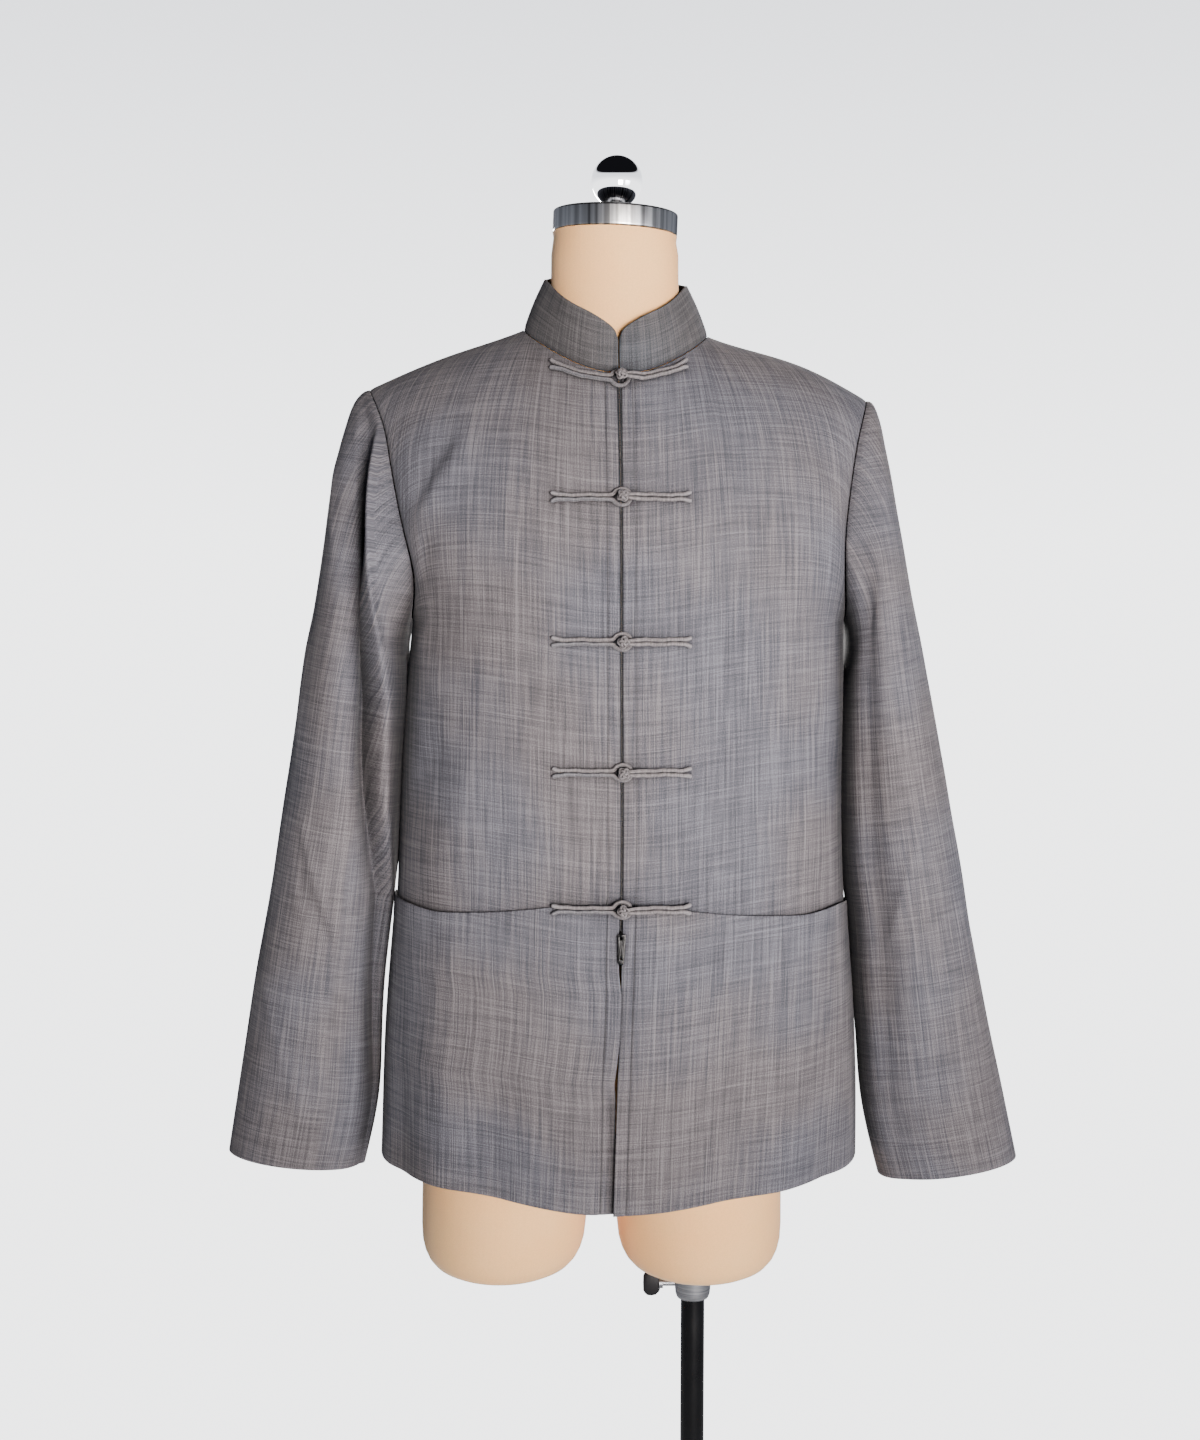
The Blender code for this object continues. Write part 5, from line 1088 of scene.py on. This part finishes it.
for side in (-1, 1):
    edge = {-1: fronts[side][0][:, -1], 1: quarters[side][:, -1]}
    armhole = np.vstack([edge[-1][UNDERARM_ROW:][::-1], edge[1][UNDERARM_ROW + 1 : -1]])
    ring = np.linspace(0, 1, SLEEVE_ROWS) ** 1.12 * 16
    angle = math.pi + np.arange(SLEEVE_AROUND) * 2 * math.pi / SLEEVE_AROUND
    grid = sleeve_grid(side, armhole, ring, angle)
    normals = grid_normals(grid, around=True)
    degrees = np.degrees(angle)[None]
    lift, slide = np.zeros(grid.shape[:2]), np.zeros(grid.shape[:2])
    for fold in SLEEVE_FOLDS[side]:
        place = np.interp(ring, fold["ring"], fold["place"])[:, None]
        depth = np.interp(ring, fold["ring"], fold["depth"])[:, None]
        apart = (degrees - place + 180) % 360 - 180
        outer = np.broadcast_to(np.interp(ring, fold["ring"], np.broadcast_to(
            fold["outer"], np.shape(fold["ring"])))[:, None], apart.shape)
        wide = np.where(apart > 0, fold["inner"], outer)
        lift -= depth * np.exp(-np.abs(apart / wide) ** np.where(apart > 0, 2.0, fold["floor"]))
        # the cloth pushed out of the trough stands up as a low roll on the inner flank, which
        # leans over the trough
        roll = depth * np.exp(-(((apart - 1.9 * fold["inner"]) / (1.4 * fold["inner"])) ** 2))
        lift += 0.16 * roll
        slide += fold["overhang"] * roll
    u, v = lengths(grid, 1), lengths(grid, 0)
    u = u - u[:, SLEEVE_AROUND // 2 : SLEEVE_AROUND // 2 + 1]
    lift += bump_field(u, v, SLEEVE_CREASES[side])
    lift *= smooth_step(v / 0.012)
    lift -= SEAM_DIP * np.exp(-((v / 0.0032) ** 2))
    # ease of the sleeve head: a row of shallow puckers that die away 22 mm below the seam
    head = np.clip(np.cos(np.radians(degrees)) + 0.35, 0, 1)
    lift += 0.00035 * head * np.cos(u / PUCKER_PITCH * 2 * math.pi) * np.exp(-((v - 0.007) / 0.009) ** 2)
    around_way = unit(np.roll(grid, -1, axis=1) - np.roll(grid, 1, axis=1))
    grid = grid + normals * lift[..., None] - around_way * slide[..., None]
    sleeve = cloth_wall(f"sleeve_cloth_{side_name(side)}", grid, grid_normals(grid, around=True), suiting,
               "form", [f"sleeve_{side_name(side)}"], around=True, seams=(("low", 0),),
               grain=lambda u, v, s=side, way=unit(grid[-1].mean(axis=0) - grid[0].mean(axis=0)), spot=grid: (
                   np.broadcast_to(u[GRAIN_ROW] - u[GRAIN_ROW, SLEEVE_AROUND // 2] + 0.9 * s, u.shape),
                   spot @ way + 0.4))

# ------------------------------------------------------------------ collar
# A stand collar of two layers of suiting over a firm interlining. It climbs from the neckline,
# leans in towards the neck, and its front corners are rounded and meet over the zip.

COLLAR_HEIGHT = 0.0485
COLLAR_FRONT = 0.0285  # height left at the rounded front corners
COLLAR_CORNER = 0.0340  # length over which the front corners round
COLLAR_LEAN_FRONT = math.radians(9)
COLLAR_LEAN_SIDE = math.radians(24)

# painted shade: the collar's yarns are a darker copy of the suiting's, standing in for the shade the collar
# lies in
collar_painted_shade_finish = suiting_finish("grey_melange_wool_on_interlining_painted_shade", {
    "yarns": ("#39393B", "#4B4B4D", "#616062"), "cool": "#F2F7FC", "warm": "#FDF8F4",
    "painted_crevice_shade": 0.020})
neck_front = front_columns[front_columns < NECK_COLUMN]
neck_back = side_columns[side_columns < NECK_COLUMN]
top = {(side, face): panel(side, face, np.append(neck_front if face < 0 else neck_back, NECK_COLUMN),
                           [2.999, 3.0])[-1] for side in (-1, 1) for face in (-1, 1)}
foot = np.vstack([top[-1, -1], top[-1, 1][-2::-1], top[1, 1][1:-1], top[1, -1][::-1]])
run = travelled(foot)
even = np.linspace(0, run[-1], 230)
foot = read_along(even, run, foot)
# its two ends reach in past the fronts' edges until they nearly touch
foot[:, 0] += 0.0017 * (np.exp(-((even / 0.012) ** 2)) - np.exp(-(((even[-1] - even) / 0.012) ** 2)))
from_front = np.minimum(even, even[-1] - even) / COLLAR_CORNER
round_share = np.sqrt(np.clip(1 - (1 - np.clip(from_front, 0, 1)) ** 2, 0, 1))
tall = COLLAR_FRONT + (COLLAR_HEIGHT - COLLAR_FRONT) * round_share
away = np.column_stack([foot[:, :2] - np.array(NECK_AXIS), np.zeros(len(foot))])
inward = -unit(away)
lean = COLLAR_LEAN_FRONT + (COLLAR_LEAN_SIDE - COLLAR_LEAN_FRONT) * inward[:, 0] ** 4
rise = np.linspace(0, 1, 22)[:, None]
direction = np.cos(lean)[:, None] * np.array([0.0, 0.0, 1.0]) + np.sin(lean)[:, None] * inward
collar = foot[None] + (rise * tall)[..., None] * direction[None]
collar_normals = grid_normals(collar)
# its foot is turned in under the seam, and the stand rolls outwards a little halfway up
roll = 0.0012 * np.sin(np.clip(rise, 0, 1) * math.pi) - 0.0008 * np.exp(-((rise * tall / 0.003) ** 2))
collar = collar + collar_normals * roll[..., None]
collar_piece = cloth_wall("collar_stand", collar, grid_normals(collar), collar_painted_shade_finish, "form",
                          ["collar"], seams=(("low", 0),),
                          grain=lambda u, v: (np.broadcast_to(even + 2.0, u.shape), v))

# ------------------------------------------------------------------ zip
# A black coil zip behind the meeting edges: two woven tapes, nylon teeth that are closed above
# the slider, and a cast slider whose painted tab hangs in front of the edges from its bail.

ZIP_AXIS_Z = 0.9872
AXIS_OUT = 0.0046  # distance of the pull's axis in front of the fronts
TAPE = 0.0010
TOOTH_PITCH = 0.0015

tape_finish, tape_shader = new_finish("black_woven_zip_tape", {
    "Base Color": linear("#0D0D0F"), "Roughness": 0.95, "IOR": 1.5, "Sheen Weight": 0.15})
tree = tape_finish.node_tree
weave = add_node(tree, "ShaderNodeUVMap", {"uv_map": "weave"}).outputs[0]
# the tape's herringbone ribs lie 0.9 mm apart
ribs = add_node(tree, "ShaderNodeTexWave", {"bands_direction": "DIAGONAL"}, {
    "Vector": weave, "Scale": 350.0, "Distortion": 1.0})
rib_bump = add_node(tree, "ShaderNodeBump", None, {"Height": ribs.outputs[1], "Distance": 0.0002})
tree.links.new(rib_bump.outputs[0], tape_shader.inputs["Normal"])
tree.links.new(ramp(tree, ribs.outputs[1], [(0.2, "#09090A"), (0.8, "#151517")]),
               tape_shader.inputs["Base Color"])
nylon, nylon_shader = new_finish("black_nylon_coil", {
    "Base Color": linear("#121214"), "Roughness": 0.45, "IOR": 1.53, "Coat Weight": 0.2})
tree = nylon.node_tree
place = add_node(tree, "ShaderNodeTexCoord").outputs["Object"]
dust = add_node(tree, "ShaderNodeTexNoise", None, {"Vector": place, "Scale": 700.0})
tree.links.new(ramp(tree, dust.outputs[0], [(0.35, "#0E0E10"), (0.65, "#1C1C1F")]),
               nylon_shader.inputs["Base Color"])
black_paint = powder_coat("black_enamel_on_zinc", "#050506", 0.22)

for side in (-1, 1):
    plain, shaped, normals, u = fronts[side]
    keep = slice(10, len(u) - 3)
    z = plain[keep, 0, 2]
    # the tape's inner edge lies at the centre line above the slider and draws back below it
    apart = 0.0004 + 0.0030 * (1 - smooth_step((z - ZIP_AXIS_Z + 0.035) / 0.035))
    half_gap = np.interp(z, CENTRE["z"], CENTRE["half"])
    across = unit(shaped[keep, 3] - shaped[keep, 0])
    reach = (apart - half_gap)[:, None] + (0.0105 - apart + half_gap)[:, None] * np.linspace(0, 1, 8)
    out = normals[keep, 2]
    line = shaped[keep, 0][:, None] + across[:, None] * reach[..., None]
    line = line - out[:, None] * (CLOTH + SEAM + 0.0008)
    tape_normals = np.repeat(out[:, None], 8, axis=1)
    tape = cloth_wall(f"zip_tape_woven_{side_name(side)}", line, tape_normals, tape_finish, "form",
                      [f"zip_tape_{side_name(side)}"], thick=TAPE)
    spine = shaped[keep, 0] + across * (apart - half_gap + 0.0004)[:, None] - out * (CLOTH - 0.0002)
    run = travelled(spine)
    at = np.arange(0.002 + (side > 0) * TOOTH_PITCH / 2, run[-1], TOOTH_PITCH)
    place, way, off = (read_along(at, run, part) for part in (spine, across, out))
    points, quads = capsules(place, way * 0.0007, off, 0.00048)
    put_together(f"zip_coil_{side_name(side)}", points, quads, nylon, "form")


def plate(name, outline, thickness, edge, place, finish, body, stands_for=(), holes=()):
    """A cast plate in the XZ plane from its outline and holes, with edges rounded by a bevel;
    its middle lies in its own XZ plane, and its origin is moved to place."""
    curve = bpy.data.curves.new(name, "CURVE")
    curve.dimensions, curve.fill_mode = "2D", "BOTH"
    curve.extrude, curve.bevel_depth, curve.bevel_resolution = thickness / 2 - edge, edge, 3
    for loop in (outline, *holes):
        spline = curve.splines.new("POLY")
        spline.points.add(len(loop) - 1)
        spline.points.foreach_set("co", np.column_stack([loop, np.zeros((len(loop), 1)),
                                                         np.ones((len(loop), 1))]).ravel())
        spline.use_cyclic_u = True
    helper = bpy.data.objects.new(name + "_curve", curve)
    mesh = bpy.data.meshes.new_from_object(helper)
    bpy.data.objects.remove(helper)
    bpy.data.curves.remove(curve)
    points = np.empty(len(mesh.vertices) * 3)
    mesh.vertices.foreach_get("co", points)
    points = points.reshape(-1, 3)
    points = np.column_stack([points[:, 0], -points[:, 2], points[:, 1]]) + np.asarray(place)
    mesh.vertices.foreach_set("co", points.ravel())
    shape = bmesh.new()
    shape.from_mesh(mesh)
    bmesh.ops.remove_doubles(shape, verts=shape.verts, dist=1e-6)
    bmesh.ops.recalc_face_normals(shape, faces=shape.faces)
    shape.to_mesh(mesh)
    shape.free()
    mesh.name = name
    mesh.materials.clear()
    mesh.materials.append(finish)
    mesh.shade_smooth()
    mesh.set_sharp_from_angle(angle=math.radians(50))
    made = bpy.data.objects.new(name, mesh)
    bpy.context.scene.collection.objects.link(made)
    if stands_for:
        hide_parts(*stands_for)
    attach(made, body)
    return made


def rounded(corners, radius, steps=5):
    """A closed outline whose corners are rounded as in soften."""
    ring = np.vstack([corners[-1:], corners, corners[:1]])
    return soften(ring, radius, steps)[1:-1]


zip_x = float(curve_through(ZIP_AXIS_Z, CENTRE["z"], CENTRE["x"]))
zip_face = float(lower_point(-1, -1, np.array([0.0]), np.array([ZIP_AXIS_Z]), 0.0)[0, 1])
axis_y = zip_face - AXIS_OUT
slider_outline = rounded(np.array([(-0.0040, 0.0048), (-0.0012, 0.0034), (0.0012, 0.0034),
                                   (0.0040, 0.0048), (0.0036, -0.0048), (-0.0036, -0.0048)]), 0.0014)
plate("slider_body", slider_outline, 0.0043, 0.0006, (zip_x, zip_face + CLOTH + SEAM + 0.00225, ZIP_AXIS_Z),
      black_paint, "form", ["zip_slider"])
# the bail: a round wire that leaves the slider, passes between the edges and holds the tab
turn = np.linspace(0, math.pi, 22)
bail_reach = zip_face + CLOTH + SEAM + 0.0006 - axis_y
bail_path = np.column_stack([
    np.full(22, zip_x), axis_y + bail_reach * (1 - np.sin(turn)) - 0.0016 * np.sin(turn),
    ZIP_AXIS_Z + 0.0024 * np.cos(turn)])


def tube(path, radius, out, sides=12, closed=False):
    """Points, quads and UV of a round tube: rings of the given radii square to the path, turned
    from the out directions. Open tubes get ends rounded to half a ball."""
    path, out = np.asarray(path, float), np.broadcast_to(np.asarray(out, float), np.shape(path))
    radius = np.broadcast_to(np.asarray(radius, float), len(path)).copy()
    if closed:
        along = unit(np.roll(path, -1, axis=0) - np.roll(path, 1, axis=0))
    else:
        along = unit(np.gradient(path, axis=0))
        cap = np.linspace(0, math.pi / 2, 5)[1:]
        path = np.vstack([path[0] - along[0] * radius[0] * np.sin(cap[::-1])[:, None], path,
                          path[-1] + along[-1] * radius[-1] * np.sin(cap)[:, None]])
        radius = np.concatenate([radius[0] * np.cos(cap[::-1]), radius, radius[-1] * np.cos(cap)])
        along = np.vstack([np.repeat(along[:1], 4, axis=0), along, np.repeat(along[-1:], 4, axis=0)])
        out = np.vstack([np.repeat(out[:1], 4, axis=0), out, np.repeat(out[-1:], 4, axis=0)])
    side_way = unit(np.cross(along, out))
    up_way = np.cross(side_way, along)
    angle = np.arange(sides) * 2 * math.pi / sides
    rings = path[:, None] + radius[:, None, None] * (
        np.cos(angle)[None, :, None] * side_way[:, None] + np.sin(angle)[None, :, None] * up_way[:, None])
    quads = grid_quads(len(path), sides, around=True, over=closed)
    run = travelled(path)
    rows = len(path) + closed
    run = np.append(run, run[-1] + 0.001)[:rows]
    girth = np.arange(sides + 1) / sides * 2 * math.pi * 0.002
    uv = np.stack(np.broadcast_arrays(girth[None], run[:, None]), axis=-1).reshape(-1, 2)
    return rings.reshape(-1, 3), quads, uv[grid_quads(rows, sides + 1)]


def put_tubes(name, tubes, finish, body, stands_for=()):
    """Several tubes as one object."""
    starts = np.cumsum([0] + [len(points) for points, _, _ in tubes[:-1]])
    points = np.vstack([points for points, _, _ in tubes])
    quads = np.vstack([quads + start for (_, quads, _), start in zip(tubes, starts)])
    uv = np.vstack([uv.reshape(-1, 2) for _, _, uv in tubes])
    return put_together(name, points, quads, finish, body, stands_for, corner_uv=uv)


put_tubes("slider_bail", [tube(bail_path, 0.0007, (1.0, 0.0, 0.0), sides=10)], black_paint, "form")
tab = rounded(np.array([(-0.0026, 0.0006), (0.0040, 0.0006), (0.0024, -0.0236), (0.0014, -0.0250),
                        (-0.0014, -0.0250), (-0.0024, -0.0236)]), 0.0008)
slot_hole = rounded(np.array([(-0.0013, -0.0006), (-0.0013, -0.0042), (0.0013, -0.0042), (0.0013, -0.0006)]),
                    0.0006)
eye_turn = np.arange(20) * -2 * math.pi / 20
eye = np.column_stack([0.0011 * np.cos(eye_turn), -0.0200 + 0.0011 * np.sin(eye_turn)])
plate("zip_pull_tab", tab, 0.0013, 0.0003, (zip_x, axis_y, ZIP_AXIS_Z), black_paint, "pull",
      ["zip_pull"], holes=(slot_hole, eye))

# ------------------------------------------------------------------ frogs
# Five knotted fastenings of cord rolled from the suiting on the bias. Each half is two strands
# stitched down side by side: the left one ends in a ball knot, the right one in its loop.

FROG_HEIGHTS = [1.4570, 1.3566, 1.2362, 1.1257, 1.0090]
FROG_NECK_CURVE = 4.1  # how the top frog bends up along the collar seam
CORD_RADIUS = 0.0017
KNOT_HEIGHT = 0.0078  # of the knot's middle above the cloth
KNOT_ASIDE = 0.0016  # how far past the centre line the loop holds it
# One strand of the loop: along the frog, and across it; it passes below the knot and comes back
LOOP_PATH = {
    "along": [-0.0572, -0.0545, -0.0500, -0.0400, -0.0300, -0.0210, -0.0140, -0.0096, -0.0068, -0.0054,
              -0.0030, 0.0006, 0.0045, 0.0071, 0.0080, 0.0071, 0.0044, 0.0005, -0.0031, -0.0056, -0.0070,
              -0.0097, -0.0140, -0.0210, -0.0300, -0.0400, -0.0500, -0.0545, -0.0572],
    "across": [0.0032, 0.0024, 0.0019, 0.0018, 0.0019, 0.0018, 0.0018, 0.0019, 0.0026, 0.0042, 0.0060,
               0.0069, 0.0060, 0.0034, 0.0000, -0.0032, -0.0057, -0.0065, -0.0057, -0.0040, -0.0025,
               -0.0019, -0.0018, -0.0018, -0.0017, -0.0018, -0.0019, -0.0025, -0.0034],
}
# One strand of the knot half: along, across and out from the cloth
STRAND_PATH = {
    "along": [0.0572, 0.0545, 0.0500, 0.0400, 0.0300, 0.0220, 0.0180, 0.0145, 0.0112, 0.0080, 0.0050],
    "across": [0.0033, 0.0024, 0.0019, 0.0018, 0.0018, 0.0018, 0.0018, 0.0018, 0.0017, 0.0014, 0.0010],
    "out": [0.0000, 0.0000, 0.0000, 0.0000, 0.0000, 0.0004, 0.0014, 0.0030, 0.0042, 0.0050, 0.0054],
}


def front_depth(x, z):
    """Depth of the fronts' plain form at x and z, below or above the underarm."""
    low = np.minimum(z, UNDERARM)
    depth = np.zeros(np.broadcast(x, z).shape)
    for side in (-1, 1):
        wide = curve_through(low, BODY["z"], BODY[side_name(side)])
        below = lower_point(side, -1, np.abs(x) / wide, low, 0.0)[..., 1]
        top = curve_through(x, SHOULDERS["x"], SHOULDERS["z"])
        above = upper_point(side, -1, np.abs(x), np.clip((z - UNDERARM) / (top - UNDERARM), 0, 1))[..., 1]
        depth = np.where((x < 0) == (side < 0), np.where(z > UNDERARM, above, below), depth)
    return depth


def on_front(x, z, off):
    """Points on the fronts' plain form, moved out by off along its normal, and the normals."""
    step = 0.002
    slope_x = (front_depth(x + step, z) - front_depth(x - step, z)) / (2 * step)
    slope_z = (front_depth(x, z + step) - front_depth(x, z - step)) / (2 * step)
    normals = unit(np.stack([slope_x, -np.ones_like(slope_x), slope_z], axis=-1))
    return np.stack([x, front_depth(x, z), z], axis=-1) + normals * off[..., None], normals


def frog_path(number, along, across, out, count=110):
    """A strand through its control points in even steps of their own spline."""
    t = np.arange(len(along))
    fine = np.linspace(0, len(along) - 1, count)
    u, w, off = (curve_through(fine, t, row) for row in (along, across, out))
    phase = 1.7 * number
    wander = 0.00030 * np.sin(u * 240 + phase) + 0.00018 * np.sin(u * 610 + 2.3 * phase + np.sign(w))
    w = w + wander * smooth_step((np.abs(u) - 0.014) / 0.008)
    centre = curve_through(FROG_HEIGHTS[number], CENTRE["z"], CENTRE["x"])
    z = FROG_HEIGHTS[number] + (FROG_NECK_CURVE * u * u if number == 0 else 0 * u)
    seat = CORD_RADIUS + SEAM + (2 * SEAM + CLOTH + 0.0003 if number == 4 else 0.0)
    return on_front(centre + u, z + w, seat + off), u


# the cord's colour also carries painted shade over 7 mm, dark between its strands and where it meets the
# cloth
cord_finish = suiting_finish("grey_melange_wool_rolled_cord", {
    "yarns": ("#4A494B", "#666466", "#838183"), "cool": "#F2F7FD", "warm": "#FFF9F5", "painted_crevice_shade": 0.007})
for number in range(5):
    strands = []
    rows = [np.array(LOOP_PATH["along"]), np.array(LOOP_PATH["across"]), np.zeros(29)]
    (path, out), u = frog_path(number, *rows)
    flare = CORD_RADIUS * (1 + 0.10 * smooth_step((np.abs(u) - 0.048) / 0.008))
    put_tubes(f"frog_cord_loop_{number + 1}", [tube(path, flare, out)], cord_finish, "form",
              [f"frog_loop_{number + 1}"])
    for up in (1, -1):
        (path, out), u = frog_path(number, np.array(STRAND_PATH["along"]),
                                   up * np.array(STRAND_PATH["across"]), np.array(STRAND_PATH["out"]), 60)
        flare = CORD_RADIUS * (1 + 0.10 * smooth_step((np.abs(u) - 0.048) / 0.008)
                               - 0.12 * smooth_step((0.016 - u) / 0.01))
        strands.append(tube(path, flare, out))
    # the ball knot: a closed cord with three turns and four bights round a small core
    centre_x = curve_through(FROG_HEIGHTS[number], CENTRE["z"], CENTRE["x"]) + KNOT_ASIDE
    lift = KNOT_HEIGHT + (2 * SEAM + CLOTH + 0.0003 if number == 4 else 0.0)
    middle, out = on_front(np.array([centre_x]), np.array([FROG_HEIGHTS[number]]), np.array([lift]))
    out_way = out[0]
    side_way = unit(np.cross([0.0, 0.0, 1.0], out_way))
    up_way = np.cross(out_way, side_way)
    t = np.arange(300) * 6 * math.pi / 300
    tilt = np.radians(52 + 38 * np.cos(4 * t / 3))
    spin = t + 0.7 + 0.9 * number
    radial = (np.cos(tilt)[:, None] * out_way + np.sin(tilt)[:, None]
              * (np.cos(spin)[:, None] * side_way + np.sin(spin)[:, None] * up_way))
    winding = middle + radial * (0.0038 + 0.0006 * np.sin(8 * t / 3))[:, None]
    strands.append(tube(winding, 0.00115, radial, closed=True))
    core = middle - out_way * 0.0014 + np.outer(np.linspace(-0.0014, 0.0012, 6), out_way)
    strands.append(tube(core, 0.0022, side_way, sides=16))
    put_tubes(f"frog_cord_knot_{number + 1}", strands, cord_finish, "form",
              [f"frog_knot_{number + 1}"])

# ------------------------------------------------------------------ studio
# A plain pale floor in an even, pale room. A large soft light stands a little to the camera's
# right with a weaker one beyond it, another lights the back, and a low, wide panel that faces
# down keeps the floor pale. The camera stands level with the chest and looks slightly down.

floor_finish, _ = new_finish("matt_pale_floor", {
    "Base Color": linear("#E6E6E8"), "Roughness": 0.9})
floor_mesh = bpy.data.meshes.new("studio_floor")
floor_mesh.from_pydata([(-1.6, -1.6, 0), (1.6, -1.6, 0), (1.6, 0.9, 0), (-1.6, 0.9, 0)], [], [(0, 1, 2, 3)])
floor_mesh.materials.append(floor_finish)
floor = bpy.data.objects.new("studio_floor", floor_mesh)
bpy.context.scene.collection.objects.link(floor)

world = bpy.data.worlds.new("pale_room")
world.use_nodes = True
tree = world.node_tree
height = add_node(tree, "ShaderNodeSeparateXYZ", None, {
    0: add_node(tree, "ShaderNodeTexCoord").outputs["Generated"]})
# what lights the cloth: a room that is pale up to eye height, with a dim ceiling
room = ramp(tree, height.outputs[2], [(0.10, "#C6CEE0"), (0.55, "#1E1E22")])
tree.links.new(room, tree.nodes["Background"].inputs[0])
tree.nodes["Background"].inputs[1].default_value = 0.42
# what the camera and the polished chrome see: the even, pale wall behind
wall_tone = ramp(tree, height.outputs[2], [(0.0, "#F4F5F7"), (0.27, "#C2C4C9"), (0.42, "#C2C4C9"),
                                         (0.50, "#08080A")])
wall = add_node(tree, "ShaderNodeBackground", None, {0: wall_tone, 1: 3.9})
ray = add_node(tree, "ShaderNodeLightPath")
seen = add_node(tree, "ShaderNodeMixShader", None, {
    0: add_node(tree, "ShaderNodeMath", {"operation": "MAXIMUM"}, {
        0: ray.outputs["Is Camera Ray"], 1: ray.outputs["Is Singular Ray"]}).outputs[0],
    1: tree.nodes["Background"].outputs[0], 2: wall.outputs[0]})
tree.links.new(seen.outputs[0], tree.nodes["World Output"].inputs[0])
bpy.context.scene.world = world

LIGHTS = [
    # name, place, target, size, power, colour
    ("key_softbox", (0.72, -2.48, 1.02), (-0.05, 0.0, 1.30), 0.9, 14.5, 46, "#FFF7F3"),
    ("fill_softbox", (1.90, -1.6, 1.05), (0.2, 0.0, 1.10), 1.0, 3.2, 46, "#F6F6FF"),
    ("back_softbox", (-0.50, 2.60, 1.20), (0.0, 0.0, 1.20), 1.2, 15.0, 46, "#FFFBF8"),
    ("floor_panel", (0.0, -0.35, 0.50), (0.0, -0.3501, 0.0), 2.6, 17.0, 180, "#FFFFFF"),
]
for name, spot, target, size, power, spread, colour in LIGHTS:
    lamp = bpy.data.lights.new(name, "AREA")
    lamp.size, lamp.energy, lamp.color = size, power, linear(colour)[:3]
    lamp.spread = math.radians(spread)
    light = bpy.data.objects.new(name, lamp)
    aim = np.asarray(target, float) - np.asarray(spot, float)
    light.location = spot
    light.rotation_euler = (math.atan2(math.hypot(aim[0], aim[1]), -aim[2]), 0.0,
                            math.atan2(aim[0], -aim[1]) + math.pi)
    light.visible_camera, light.visible_glossy = False, name != "floor_panel"
    bpy.context.scene.collection.objects.link(light)

lens = bpy.data.cameras.new("photo_camera")
lens.lens, lens.sensor_fit, lens.sensor_width, lens.sensor_height = 47.2, "AUTO", 36.0, 36.0
camera = bpy.data.objects.new("photo_camera", lens)
camera.location = (-0.018, -1.7, 1.321)
camera.rotation_euler = (math.radians(90 - 5.44), 0.0, 0.0)
bpy.context.scene.collection.objects.link(camera)
bpy.context.scene.camera = camera
